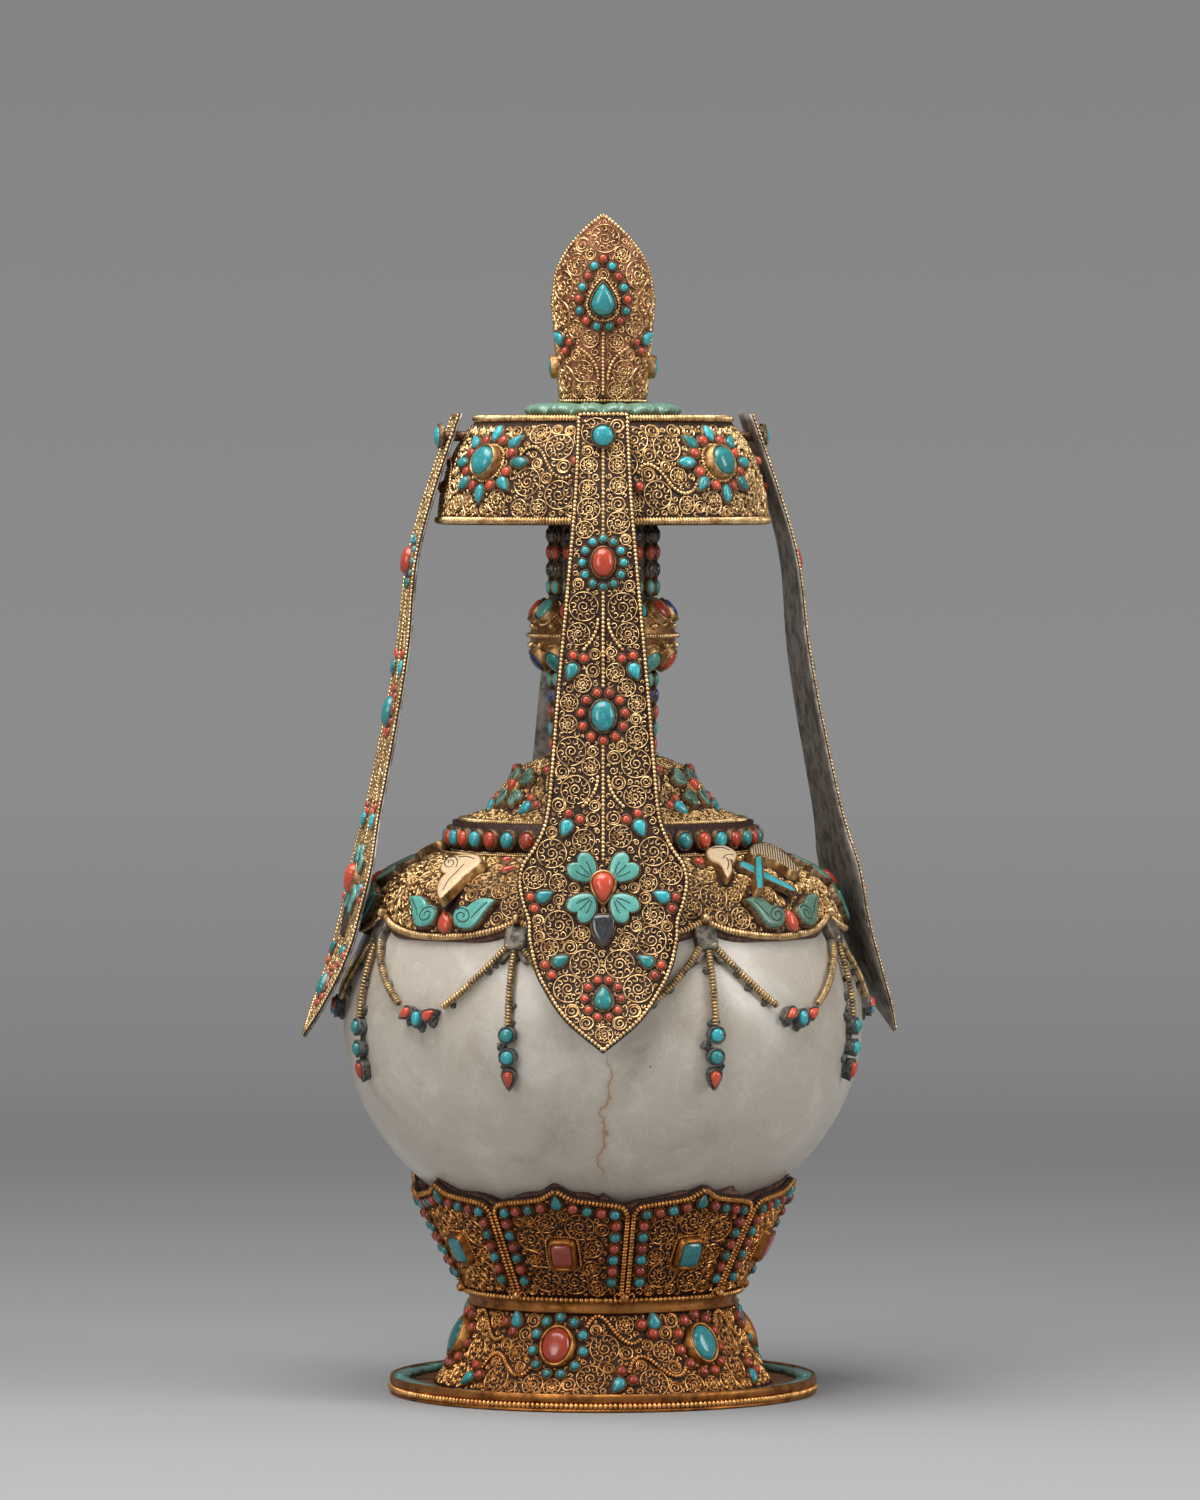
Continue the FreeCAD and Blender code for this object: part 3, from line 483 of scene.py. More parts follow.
def rim_ring(heap, place, outline, wall, height, grow=0.15):
    """Thin upright wall round a stone."""
    centre, across, up, out = place
    middle = outline.mean(axis=0)
    size = np.linalg.norm(outline - middle, axis=1, keepdims=True)
    inner = middle + (outline - middle) * (1 + (grow - 0.1) / size)
    outer = middle + (outline - middle) * (1 + (grow + wall) / size)
    foot = middle + (outline - middle) * (1 + (grow + wall * 1.35) / size)
    rows = [(foot, -0.3), (outer, height * 0.9), (outer * 0.5 + inner * 0.5, height), (inner, height * 0.92),
            (inner, height * 0.2)]
    points = [centre + f[:, :1] * across + f[:, 1:] * up + h * out for f, h in rows]
    heap.add(np.concatenate(points), [grid_faces(len(rows), len(outline), closed_columns=True)])


class Stones:
    """Stones of one region, sorted by material, with their settings."""

    def __init__(self):
        self.heaps = {}
        self.settings = Heap()
        self.bezels = Heap()
        self.cuts = Heap()
        self.circles = []

    def heap(self, kind):
        return self.heaps.setdefault(kind, Heap())

    def set(self, surface, a, v, kind, outline, rise=1.5, wall=0.45, setting=None, rings=dome_rings,
            angle=0.0):
        """Sets one stone on a surface, under its own middle, and notes the room that it takes."""
        outline = turned_outline(outline, angle)
        middle = outline.mean(axis=0)
        (a,), (v,) = surface.local(a, v, [middle])
        outline = outline - middle
        setting = rise * 0.55 if setting is None else setting
        place = surface.frame(a, v)
        seat = (place[0] + place[3] * setting * 0.6,) + place[1:]
        raised(self.heap(kind), seat, outline, rise, rings)
        metal_heap = self.bezels if setting >= high_setting else self.settings
        rim_ring(metal_heap, place, outline, wall, setting + 0.25)
        self.note_room(surface, a, v, outline, wall + 0.1)
        return seat

    def note_room(self, surface, a, v, outline, margin):
        """Circles that cover an outline, so that no wire runs under it."""
        reach = np.linalg.norm(outline, axis=1)
        if reach.max() < 1.35 * reach.min():
            self.circles.append((a, v, reach.max() + margin))
            return
        self.circles.append((a, v, reach.min() + margin))
        share = 1 - 0.5 * reach.min() / reach
        pa, pv = surface.local(a, v, outline * share[:, None])
        self.circles += list(zip(pa, pv, reach * (1 - share) + margin))

    def cut(self, place, path, height, radius=0.17):
        """Dark line engraved across a stone's top."""
        centre, across, up, out = place
        path = smoothed(path, 4)
        points = centre + path[:, :1] * across + path[:, 1:] * up + height * out
        rings = tube_rings(points, np.tile(out, (len(points), 1)), circle_section(radius, 5))
        self.cuts.add(rings, [grid_faces(len(rings), 5, closed_columns=True)])

    def ring(self, surface, a, v, kind, width, height, count, size, start=0.0):
        """Small stones round a place."""
        for k in range(count):
            angle = TAU * (k + start) / count
            spot = [(width / 2 * math.sin(angle), height / 2 * math.cos(angle))]
            (pa,), (pv,) = surface.local(a, v, spot)
            self.set(surface, pa, pv, kind, oval_outline(size, size, 12), rise=size * 0.5, wall=0.3)


def put_stones(region, stones, body, replaced, azimuth=0.0):
    """Makes the pieces of a region's stones; replaced names the nodes by kind."""
    for kind, heap in stones.heaps.items():
        put(f"{region}_{kind}_stones", heap.spun(azimuth), body, stone_slots[kind], materials[kind],
            replaced.get(kind, ()))
    left = replaced.get("settings", ())
    for name, heap in (("bezel", stones.bezels), ("setting", stones.settings)):
        if heap.count:
            put(f"{region}_stone_{name}s", heap.spun(azimuth), body, "gilt_brass", materials[name], left)
            left = ()
    if stones.cuts.count:
        put(region + "_engraving", stones.cuts.spun(azimuth), body, "resin", materials["engraving"])


def facing(surface, a, v, points, way=1):
    """Across and up on a surface of points drawn in millimetres as they look from the front."""
    centre, across, up, _ = surface.frame(a, v)
    x, y = np.asarray(points, float).T
    tilt = (eye_level - centre[2]) / eye_distance
    y = y / (up[2] + tilt * up[1])
    return np.stack([way * (x - y * up[0]) / across[0], y], axis=1)


def spiral(centre, first, last, turns, start=0.0, hand=1):
    """Spiral path round a centre, from one radius to another."""
    share = np.linspace(0, 1, int(turns * 8) + 1)
    angle = start + hand * TAU * turns * share
    reach = first + (last - first) * share
    return np.stack([centre[0] + reach * np.cos(angle), centre[1] + reach * np.sin(angle)], axis=1)


# Materials

class Graph:
    """Node material built step by step."""

    def __init__(self, name):
        self.material = bpy.data.materials.new(name)
        self.material.use_nodes = True
        self.tree = self.material.node_tree
        self.shader = self.tree.nodes["Principled BSDF"]
        self.where = self.node("TexCoord").outputs["Object"]

    def node(self, kind, **settings):
        node = self.tree.nodes.new("ShaderNode" + kind)
        for key, value in settings.items():
            if key.startswith("in_"):
                self.feed(node.inputs[key[3:].replace("_", " ").strip()], value)
            else:
                setattr(node, key, value)
        return node

    def feed(self, socket, value):
        if isinstance(value, bpy.types.NodeSocket):
            self.tree.links.new(value, socket)
        else:
            socket.default_value = value

    def noise(self, size, detail=3.0, roughness=0.55, distortion=0.0):
        node = self.node("TexNoise", in_Vector=self.where, in_Scale=1 / (size * MM), in_Detail=detail,
                         in_Roughness=roughness, in_Distortion=distortion)
        return node.outputs["Fac"]

    def cells(self, size):
        node = self.node("TexVoronoi", in_Vector=self.where, in_Scale=1 / (size * MM))
        return node.outputs["Distance"]

    def ramp(self, value, stops, smooth=True):
        node = self.node("ValToRGB", in_Fac=value)
        ramp = node.color_ramp
        ramp.interpolation = "EASE" if smooth else "LINEAR"
        while len(ramp.elements) < len(stops):
            ramp.elements.new(0.5)
        for element, (place, colour) in zip(ramp.elements, stops):
            element.position = place
            element.color = (*colour, 1.0) if isinstance(colour, tuple) else (colour, colour, colour, 1.0)
        return node.outputs["Color"]

    def mix(self, share, first, second, blend="MIX"):
        node = self.node("Mix", data_type="RGBA", blend_type=blend)
        self.feed(node.inputs["Factor"], share)
        colours = [s for s in node.inputs if s.type == "RGBA"]
        for socket, colour in zip(colours, (first, second)):
            self.feed(socket, (*colour, 1.0) if isinstance(colour, tuple) else colour)
        return [s for s in node.outputs if s.type == "RGBA"][0]

    def maths(self, operation, first, second=0.0, clamp=False):
        node = self.node("Math", operation=operation, use_clamp=clamp)
        self.feed(node.inputs[0], first)
        self.feed(node.inputs[1], second)
        return node.outputs[0]

    def bump(self, height, distance, strength=1.0):
        node = self.node("Bump", in_Height=height, in_Distance=distance * MM, in_Strength=strength)
        self.feed(self.shader.inputs["Normal"], node.outputs["Normal"])

    def finish(self, colour, roughness=0.5, **sockets):
        self.feed(self.shader.inputs["Base Color"], (*colour, 1.0) if isinstance(colour, tuple) else colour)
        self.feed(self.shader.inputs["Roughness"], roughness)
        for key, value in sockets.items():
            self.feed(self.shader.inputs[key.replace("_", " ")], value)
        return self.material


def painted_low_shade(g, colour, foot_shade, petal_shade):
    """Painted shade: darkens and warms the foot and the petals, which the belly shades from the top light."""
    height = g.maths("MULTIPLY", g.node("SeparateXYZ", in_Vector=g.where).outputs["Z"], 10.0)
    shade = g.ramp(height, ((0.28, foot_shade), (0.34, petal_shade), (0.62, petal_shade), (0.72, 1.0)))
    return g.mix(1.0, colour, shade, "MULTIPLY")


def metal(name, bright, dark, rough, patch=2.2, grain=0.3, grain_depth=0.06, shine=1.0):
    """Worn metal: bright and dark patches, fine grain, and painted shade on the foot and the petals."""
    g = Graph(name)
    blotch = g.noise(patch, 4.0, 0.6)
    fine = g.noise(grain, 2.0)
    colour = g.ramp(g.maths("ADD", g.maths("MULTIPLY", blotch, 0.7), g.maths("MULTIPLY", fine, 0.3)),
                    ((0.36, dark), (0.58, bright)))
    g.bump(fine, grain_depth)
    roughness = g.ramp(blotch, ((0.3, rough + 0.18), (0.7, rough)))
    # Painted shade: the colour is multiplied darker and warmer on the foot and the petals.
    return g.finish(painted_low_shade(g, colour, (0.95, 0.72, 0.48), (0.68, 0.44, 0.25)), roughness, Metallic=shine)


def gem(name, light, deep, matrix, vein=0.5, rough=0.22, patch=1.6, vein_size=1.5):
    """Polished opaque stone with a tint of its own, blotches and thin veins, and painted shade on the foot
    and the petals.
    """
    g = Graph(name)
    own = g.node("NewGeometry").outputs["Random Per Island"]
    blotch = g.noise(patch, 5.0, 0.65)
    tone = g.maths("ADD", g.maths("MULTIPLY", own, 0.5), g.maths("MULTIPLY", blotch, 0.6))
    colour = g.ramp(tone, ((0.2, deep), (0.75, light)))
    crack = g.noise(vein_size, 6.0, 0.7, 1.6)
    line = g.maths("ABSOLUTE", g.maths("SUBTRACT", crack, 0.5))
    mask = g.ramp(line, ((0.0, vein), (0.035, 0.0)))
    colour = g.mix(mask, colour, matrix)
    g.bump(blotch, 0.05)
    # Painted shade: the stone's colour is multiplied darker on the foot and the petals.
    return g.finish(painted_low_shade(g, colour, 0.8, 0.55), rough, Coat_Weight=0.35, Coat_Roughness=0.12)


materials = {
    "wire": metal("gilt_wire", (1.0, 0.68, 0.33), (0.34, 0.17, 0.06), 0.25),
    # Painted shade: darker copies of the gilt wire and beads for the shoulder, neck and collar, which sit
    # further in than the lappets and get less light.
    "shaded_wire": metal("shaded_wire", (0.74, 0.48, 0.21), (0.24, 0.12, 0.045), 0.3),
    "beads": metal("gilt_beads", (0.98, 0.69, 0.36), (0.42, 0.24, 0.09), 0.26, patch=3.0),
    "shaded_beads": metal("shaded_beads", (0.76, 0.52, 0.26), (0.3, 0.17, 0.07), 0.3, patch=3.0),
    # Painted shade: the copper sheet under the filigree is made near black, standing in for the shade in the
    # gaps between the wires.
    "sheet": metal("copper_sheet_with_painted_gap_shade", (0.05, 0.02, 0.011), (0.012, 0.005, 0.003), 0.55, patch=1.4,
                   grain_depth=0.12, shine=0.3),
    "rosy_sheet": metal("rosy_sheet", (0.34, 0.13, 0.07), (0.07, 0.028, 0.016), 0.45, patch=3.0, shine=0.5),
    "bezel": metal("gilt_bezel", (0.6, 0.36, 0.15), (0.2, 0.1, 0.045), 0.36, patch=2.6),
    "setting": metal("dark_setting", (0.26, 0.15, 0.075), (0.04, 0.026, 0.018), 0.42, patch=0.9, shine=0.8),
    "band": metal("copper_band", (0.46, 0.25, 0.1), (0.16, 0.075, 0.03), 0.38, patch=6.0),
    "back": metal("lappet_back", (0.42, 0.38, 0.33), (0.16, 0.13, 0.11), 0.55, patch=5.0, grain=0.9,
                  shine=0.7),
    "old_coil": metal("old_coil", (0.62, 0.42, 0.2), (0.13, 0.1, 0.07), 0.36, patch=2.4, shine=0.9),
    "grey_clip": metal("grey_clip", (0.2, 0.17, 0.13), (0.045, 0.04, 0.033), 0.5, patch=2.4, shine=0.6),
    "engraving": metal("engraving", (0.03, 0.03, 0.028), (0.012, 0.012, 0.011), 0.7, shine=0.0),
    "patina": metal("dark_patina", (0.16, 0.16, 0.14), (0.02, 0.02, 0.02), 0.6, patch=1.2, grain_depth=0.25,
                    shine=0.35),
    "turquoise": gem("turquoise", (0.045, 0.46, 0.52), (0.02, 0.18, 0.16), (0.03, 0.05, 0.04), 0.75),
    "green": gem("green_turquoise", (0.13, 0.45, 0.38), (0.035, 0.2, 0.15), (0.04, 0.06, 0.04), 0.6,
                 rough=0.34),
    "jade": gem("jade", (0.16, 0.31, 0.22), (0.045, 0.13, 0.08), (0.03, 0.05, 0.03), 0.6, rough=0.34),
    "coral": gem("coral", (0.62, 0.08, 0.033), (0.32, 0.04, 0.02), (0.24, 0.03, 0.02), 0.3),
    "lapis": gem("lapis", (0.04, 0.07, 0.24), (0.012, 0.02, 0.08), (0.2, 0.2, 0.24), 0.2),
    "onyx": gem("onyx", (0.05, 0.05, 0.055), (0.012, 0.012, 0.014), (0.15, 0.15, 0.15), 0.2, rough=0.16),
    "bone": gem("bone", (0.82, 0.6, 0.37), (0.56, 0.37, 0.2), (0.26, 0.13, 0.06), 0.3, rough=0.42,
                patch=3.0),
}
stone_slots = {"turquoise": "turquoise", "green": "turquoise", "jade": "turquoise", "coral": "coral",
               "lapis": "lapis", "onyx": "lapis", "bone": "bone"}


quartz_tones = ((0.32, (0.4, 0.345, 0.275)), (0.5, (0.5, 0.445, 0.37)), (0.68, (0.61, 0.56, 0.485)))


def quartz_material():
    """Milky quartz: clouds, faint veins, specks and one rusty crack at the front."""
    g = Graph("milky_quartz")
    cloud = g.noise(26.0, 5.0, 0.6, 0.6)
    grain = g.noise(1.6, 5.0, 0.7)
    tone = g.maths("ADD", g.maths("MULTIPLY", cloud, 0.8), g.maths("MULTIPLY", grain, 0.2))
    colour = g.ramp(tone, quartz_tones)
    vein = g.maths("ABSOLUTE", g.maths("SUBTRACT", g.noise(30.0, 6.0, 0.6, 2.0), 0.5))
    colour = g.mix(g.ramp(vein, ((0.0, 0.35), (0.012, 0.0))), colour, (0.62, 0.61, 0.57))
    speck = g.ramp(g.cells(7.0), ((0.035, 0.8), (0.06, 0.0)))
    sparse = g.ramp(g.noise(16.0, 1.0), ((0.58, 0.0), (0.62, 1.0)))
    colour = g.mix(g.maths("MULTIPLY", speck, sparse), colour, (0.16, 0.11, 0.07))
    axes = g.node("SeparateXYZ", in_Vector=g.where).outputs
    wander = g.maths("MULTIPLY", g.maths("SUBTRACT", g.noise(14.0, 4.0, 0.6), 0.5), 0.011)
    lean = g.maths("MULTIPLY", g.maths("SUBTRACT", axes["Z"], 0.083), 0.06)
    across = g.maths("ABSOLUTE", g.maths("SUBTRACT", axes["X"], g.maths("ADD", wander, lean)))
    crack = g.ramp(g.maths("MULTIPLY", across, 1000.0 / 3.0), ((0.05, 0.85), (0.12, 0.25), (0.6, 0.0)))
    low = g.ramp(g.maths("MULTIPLY", axes["Z"], 5.0), ((0.33, 0.0), (0.37, 1.0), (0.50, 1.0), (0.56, 0.0)))
    front = g.maths("LESS_THAN", axes["Y"], 0.0)
    share = g.maths("MULTIPLY", g.maths("MULTIPLY", crack, low), front)
    colour = g.mix(share, colour, (0.36, 0.19, 0.08))
    g.bump(grain, 0.08)
    g.shader.subsurface_method = "RANDOM_WALK"
    return g.finish(colour, 0.3, Subsurface_Weight=0.35, Subsurface_Scale=0.006,
                    Subsurface_Radius=(1.0, 0.85, 0.7), Coat_Weight=0.25, Coat_Roughness=0.18)


def resin_material():
    g = Graph("bedding_resin")
    lumps = g.noise(1.6, 6.0, 0.7)
    colour = g.ramp(lumps, ((0.35, (0.035, 0.014, 0.01)), (0.65, (0.17, 0.07, 0.045))))
    g.bump(lumps, 0.6)
    return g.finish(colour, 0.65)


materials["quartz"] = quartz_material()
materials["resin"] = resin_material()


# Turned and wrapped forms

def turned(heap, profile, count=128):
    """Form turned about the axis from a closed (r, z) profile, its outer side going up."""
    turn = np.arange(count) * TAU / count
    r, z = np.asarray(profile, float).T
    r, z = r[:, None], np.repeat(z[:, None], count, 1)
    points = np.stack([r * np.sin(turn), -r * np.cos(turn), z], axis=-1)
    heap.add(points, [grid_faces(len(z), count, closed_rows=True, closed_columns=True)])


def band(heap, surface, low, high, lifts=(-0.8, 0.0), rows=10, count=192):
    """Sheet wrapped round a surface between two levels, which may vary with the azimuth."""
    a = np.arange(count) * 360.0 / count
    low = low(a) if callable(low) else low
    high = high(a) if callable(high) else high
    v = low + (high - low) * np.linspace(0, 1, rows)[:, None]
    a, v = np.broadcast_arrays(a[None], v)
    points = np.concatenate([surface.at(a, v, lifts[1]), surface.at(a, v, lifts[0])[::-1]])
    heap.add(points, [grid_faces(2 * rows, count, closed_rows=True, closed_columns=True)])


def bead_ring(heap, surface, v, radius=bead_radius, pitch=bead_pitch, lift=None):
    a = np.arange(180) * 2.0
    bead_line(heap, surface, np.stack([a, np.full(len(a), v)], axis=1), True, radius, pitch, lift)


def coil_ring(heap, surface, v, lift=0.0):
    """Ring of thick coiled wire."""
    bead_ring(heap, surface, v, coil_radius, coil_pitch, lift)


def bead_loop(heap, surface, a, v, outline, radius=0.5, pitch=1.0):
    """Beaded wire round a stone."""
    bead_line(heap, surface, np.stack(surface.local(a, v, outline), axis=1), True, radius, pitch)


def ball(heap, surface, a, v, radius, lift=0.0):
    raised(heap, surface.frame(a, v, lift), oval_outline(2 * radius, 2 * radius, 14), 1.6 * radius)


def wave(a, first, count, shape):
    """Value of a repeated outline: shape gives (share of half a part, value) from each part's middle."""
    half = 180.0 / count
    share = np.abs((np.asarray(a, float) - first + half) % (2 * half) - half) / half
    line = smoothed(shape, 8)
    return np.interp(share, line[:, 0], line[:, 1])


def sheet_piece(name, surface, low, high, body, replaces, lifts=(-0.8, 0.0), rows=12):
    heap = Heap()
    band(heap, surface, low, high, lifts, rows)
    gilt(name, heap, body, "sheet", replaces)


def round_stone(stones, surface, a, v, kind, size=2.4, **setting):
    stones.set(surface, a, v, kind, oval_outline(size, size, 12), rise=size * 0.55, wall=0.35, **setting)


def triad(stones, surface, corals, drop, angle, size=2.4):
    """Two corals and a turquoise drop at (a, v) places."""
    for a, v in corals:
        round_stone(stones, surface, a, v, "coral", size)
    stones.set(surface, *drop, "turquoise", drop_outline(3.7, 5.2), rise=1.6, wall=0.35, angle=angle)


def lines_room(surface, a, v, lines, half_width):
    """Room left by beaded wires."""
    room = np.full(a.shape, np.inf)
    for line in lines:
        room = np.minimum(room, segment_room(surface, a, v, line, half_width))
    return room


def wrapped_lines(lines):
    """Lines and their copies a turn away, for rooms that meet at the back."""
    return [np.asarray(line) + (turn, 0) for line in lines for turn in (-360, 0, 360)]


def shell(heap, surface, rows, lifts):
    """Thin closed sheet between two lifts from rows of (a, v) points of equal count."""
    rows = np.asarray(rows, float)
    count, columns = rows.shape[:2]
    low = surface.at(rows[..., 0], rows[..., 1], lifts[0]).reshape(-1, 3)
    high = surface.at(rows[..., 0], rows[..., 1], lifts[1]).reshape(-1, 3)
    face = grid_faces(count, columns)
    size = count * columns
    around_edge = np.concatenate([
        np.arange(columns), np.arange(1, count) * columns + columns - 1,
        (count - 1) * columns + np.arange(columns - 1)[::-1], np.arange(1, count - 1)[::-1] * columns,
    ])
    following = np.roll(around_edge, -1)
    wall = np.stack([around_edge, following, following + size, around_edge + size], axis=1)
    heap.add(np.vstack([low, high]), [face[:, ::-1], face + size, wall])


# Crystal, its bedding and the waist

crystal_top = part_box("crystal_body")[1].z / MM
crystal_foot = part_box("crystal_body")[0].z / MM
crystal_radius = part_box("crystal_body")[1].x / MM
crystal_half_height = 67.0
crystal_centre = crystal_foot + 81.0
crystal_foot_radius = 39.8
crystal_lower_cut = 54.0


def crystal_reach(z):
    return crystal_radius * math.sqrt(1 - ((z - crystal_centre) / crystal_half_height) ** 2)


def crystal_levels(count=40):
    start = math.acos(crystal_lower_cut / crystal_half_height)
    end = math.acos((crystal_centre - crystal_top) / crystal_half_height)
    return crystal_centre - crystal_half_height * np.cos(np.linspace(start, end, count))


crystal_line = [(crystal_foot_radius, crystal_foot)] + [(crystal_reach(z), z) for z in crystal_levels()]
crystal = Surface(crystal_line[1:])


crystal_inside = ((9.0, 143.0), (14.0, 143.0), (60.0, 122.0), (60.0, 95.0), (40.0, 66.0), (0.05, 66.0))


def make_crystal():
    inside = [(9.0, crystal_top), *crystal_inside]
    belly = Heap()
    turned(belly, crystal_line + inside + [(0.05, crystal_foot)], 160)
    put("crystal_smooth", belly, "vase", "quartz", materials["quartz"], ["crystal_body"])


def make_bedding():
    """Rough resin packed between the crystal and the cup, seen as a dark edge over the petals."""
    rng = np.random.default_rng(3)
    count = 300
    a = np.arange(count) * 360.0 / count
    lumps = smoothed(rng.normal(0, 0.5, (count // 4 + 2, 1)), 4)[:count, 0]
    top = cup_top - wave(a, petal_first, petal_count, bedding_edge) + lumps
    rows = []
    for share, inset_by in ((0.0, 1.2), (0.6, 1.2), (1.0, 1.5), (1.0, 2.2)):
        z = cup_level + (top - cup_level) * share
        r = np.interp(z, (cup_level, cup_top), (cup_bottom_radius, cup_tip_radius)) - inset_by
        rows.append(np.stack([r, z], axis=1))
    z = top + 0.8
    rows.append(np.stack([np.array([crystal_reach(max(level, 58.5)) for level in z]) + 0.15, z], axis=1))
    rows.append(np.stack([np.full(count, 46.0), np.full(count, 52.0)], axis=1))
    rows.append(np.stack([np.full(count, crystal_foot_radius), np.full(count, cup_level)], axis=1))
    turn = np.radians(a)
    points = [np.stack([r * np.sin(turn), -r * np.cos(turn), z], axis=1) for r, z in (row.T for row in rows)]
    heap = Heap()
    heap.add(np.concatenate(points), [grid_faces(len(rows), count, closed_columns=True)])
    put("bedding", heap, "vase", "resin", materials["resin"], ["cup_bedding"])


def make_waist():
    ring = Heap()
    turned(ring, [
        (0.05, waist_level), (40.4, waist_level), (41.0, waist_level + 0.5), (40.0, waist_level + 1.8),
        (41.0, waist_level + 3.3), (41.3, cup_level), (0.05, cup_level),
    ])
    gilt("waist_band", ring, "vase", "band", ["waist_plate"])


# Foot

foot_share = np.linspace(0, 1, 16)
foot = Surface(np.stack([50.7 - 11.1 * foot_share - 1.7 * np.sin(math.pi * foot_share),
                         foot_level + 24.0 * foot_share], axis=1))
foot_rosettes = 6
foot_first = -18.0
foot_upper_scroll = (
    (11.0, 22.8), (13.2, 25.4), (16.4, 26.2), (19.5, 24.8), (23.0, 21.6), (27.0, 18.9), (30.5, 18.2),
    (34.5, 20.0),
)
foot_lower_scroll = (
    (27.5, 9.6), (29.0, 12.6), (32.0, 14.4), (36.0, 13.6), (40.5, 10.6), (44.5, 8.6), (48.0, 9.0),
    (50.6, 11.2),
)
foot_upper_triad = (((38.6, 20.9), (34.0, 23.6)), (39.6, 24.6), 8)
foot_lower_triad = (((24.6, 10.2), (28.6, 7.6)), (23.2, 6.2), 150)


def placed(surface, first, points):
    """(a, v) of points given as (azimuth from first, height)."""
    return [(first + a, surface.level(z)) for a, z in points]


def make_foot():
    sheet_piece("foot_sheet", foot, 0.0, foot.length, "vase", ["foot_cone"])
    stones, beads, lines = Stones(), Heap(), []
    level = foot.level(17.0)
    for k in range(foot_rosettes):
        first = foot_first + 360.0 / foot_rosettes * k
        kinds = ("coral", "turquoise") if k % 2 == 0 else ("turquoise", "coral")
        stones.set(foot, first, level, kinds[0], oval_outline(8.7, 11.0, 24), rise=2.4, wall=0.8, setting=2.8)
        stones.ring(foot, first, level, kinds[1], 15.6, 18.2, 11, 2.9)
        for corals, drop, angle in (foot_upper_triad, foot_lower_triad):
            triad(stones, foot, placed(foot, first, corals), placed(foot, first, [drop])[0], angle, 2.9)
        for scroll in (foot_upper_scroll, foot_lower_scroll):
            lines.append(smoothed(placed(foot, first, scroll), 4))
    for line in lines:
        bead_line(beads, foot, line, radius=0.75, pitch=1.0)
    gilt("foot_beads", beads, "vase", "beads")
    put_stones("foot", stones, "vase", {"coral": ["foot_coral"], "turquoise": ["foot_turquoise"],
                                       "settings": ["foot_bezels"]})
    around_back = wrapped_lines(lines)

    def room_at(a, v):
        room = np.minimum(v - 0.3, foot.length - 0.3 - v)
        room = np.minimum(room, lines_room(foot, a, v, around_back, 0.85))
        return np.minimum(room, circle_room(foot, a, v, stones.circles))
    wires = filigree(foot, (-180, 180), (0, foot.length), room_at, 21, wraps=True)
    gilt("foot_wires", wires, "vase", "wire")


flange_radius = 64.5
flange_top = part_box("foot_flange")[1].z / MM
inlay_blocks = 34
inlay_joint = 0.35
inlay_radii = (58.4, 62.8)
inlay_top = 4.75
inlay_unevenness = 0.45


def make_flange():
    plate = Heap()
    outer = flange_radius
    turned(plate, [
        (0.05, 0.0), (outer - 0.9, 0.0), (outer - 0.4, 0.3), (outer - 0.4, 0.8), (outer - 1.2, 1.1),
        (outer - 1.2, 2.6), (outer - 0.9, 2.8), (outer - 0.3, 3.6), (outer - 0.3, 4.6),
        (outer - 0.6, flange_top - 0.1), (outer - 0.9, flange_top), (outer - 1.5, flange_top - 0.3),
        (outer - 1.5, foot_level), (0.05, foot_level),
    ])
    gilt("flange_plate", plate, "vase", "band", ["foot_flange"])
    beads = Heap()
    bead_ring(beads, Surface([(outer - 0.8, 1.0), (outer - 0.8, 3.4)]), 0.95, 0.95, 1.45, 0.0)
    gilt("flange_beads", beads, "vase", "beads")
    blocks = Heap()
    rng = np.random.default_rng(5)
    half = 180.0 / inlay_blocks - math.degrees(inlay_joint / 2 / inlay_radii[1])
    inner, outer = inlay_radii
    steps = 6
    for k in range(inlay_blocks):
        top = inlay_top + rng.uniform(0, inlay_unevenness)
        a = np.radians(360.0 * k / inlay_blocks + np.linspace(-half, half, steps))
        rows = [np.stack([r * np.sin(a), -r * np.cos(a), np.full(steps, z)], axis=1)
                for r, z in ((outer, foot_level), (outer, top), (inner, top - 0.15), (inner, foot_level))]
        last = steps - 1
        ends = [[0, steps, 2 * steps, 3 * steps]], [[last + 3 * steps, last + 2 * steps, last + steps, last]]
        blocks.add(np.concatenate(rows), [grid_faces(4, steps, closed_rows=True), *ends])
    put("inlay_mosaic", blocks, "vase", "turquoise", materials["green"], ["flange_inlay"])


# Petals

cup_bottom_radius = 41.0
cup_tip_radius = 58.8
petals = Surface([(cup_bottom_radius, cup_level), (cup_tip_radius, cup_top)])
petal_count = 8
petal_first = -14.0
petal_edge = ((0.0, 0.0), (0.1, 1.5), (0.24, 3.3), (0.5, 4.3), (0.8, 5.3), (0.93, 6.6), (1.0, 9.4))
bedding_edge = ((0.0, 0.2), (0.3, 2.2), (0.7, 3.9), (1.0, 5.6))
petal_wire = 0.9


def petal_top(a):
    return petals.length - wave(a, petal_first, petal_count, petal_edge)


def inset(points, distance):
    """Closed outline moved inwards; its points run anticlockwise."""
    points = np.asarray(points, float)
    way = unit(np.roll(points, -1, 0) - np.roll(points, 1, 0))
    return points + distance * np.stack([-way[:, 1], way[:, 0]], axis=1)


def petal_border(middle):
    """(a, v) of one petal's border, up its right side and down its left."""
    half = 180.0 / petal_count
    rise = np.linspace(1.0, float(petal_top(middle + half)), 20)
    a = np.linspace(half, -half, 121)
    line = np.vstack([
        np.stack([np.full(20, half), rise], axis=1), np.stack([a, petal_top(middle + a)], axis=1)[1:-1],
        np.stack([np.full(20, -half), rise[::-1]], axis=1),
    ])
    line[:, 0] *= petals.scale(line[:, 1])
    line = inset(line, petal_wire)[1:-1]
    line[:, 0] /= petals.scale(line[:, 1])
    return line + (middle, 0)


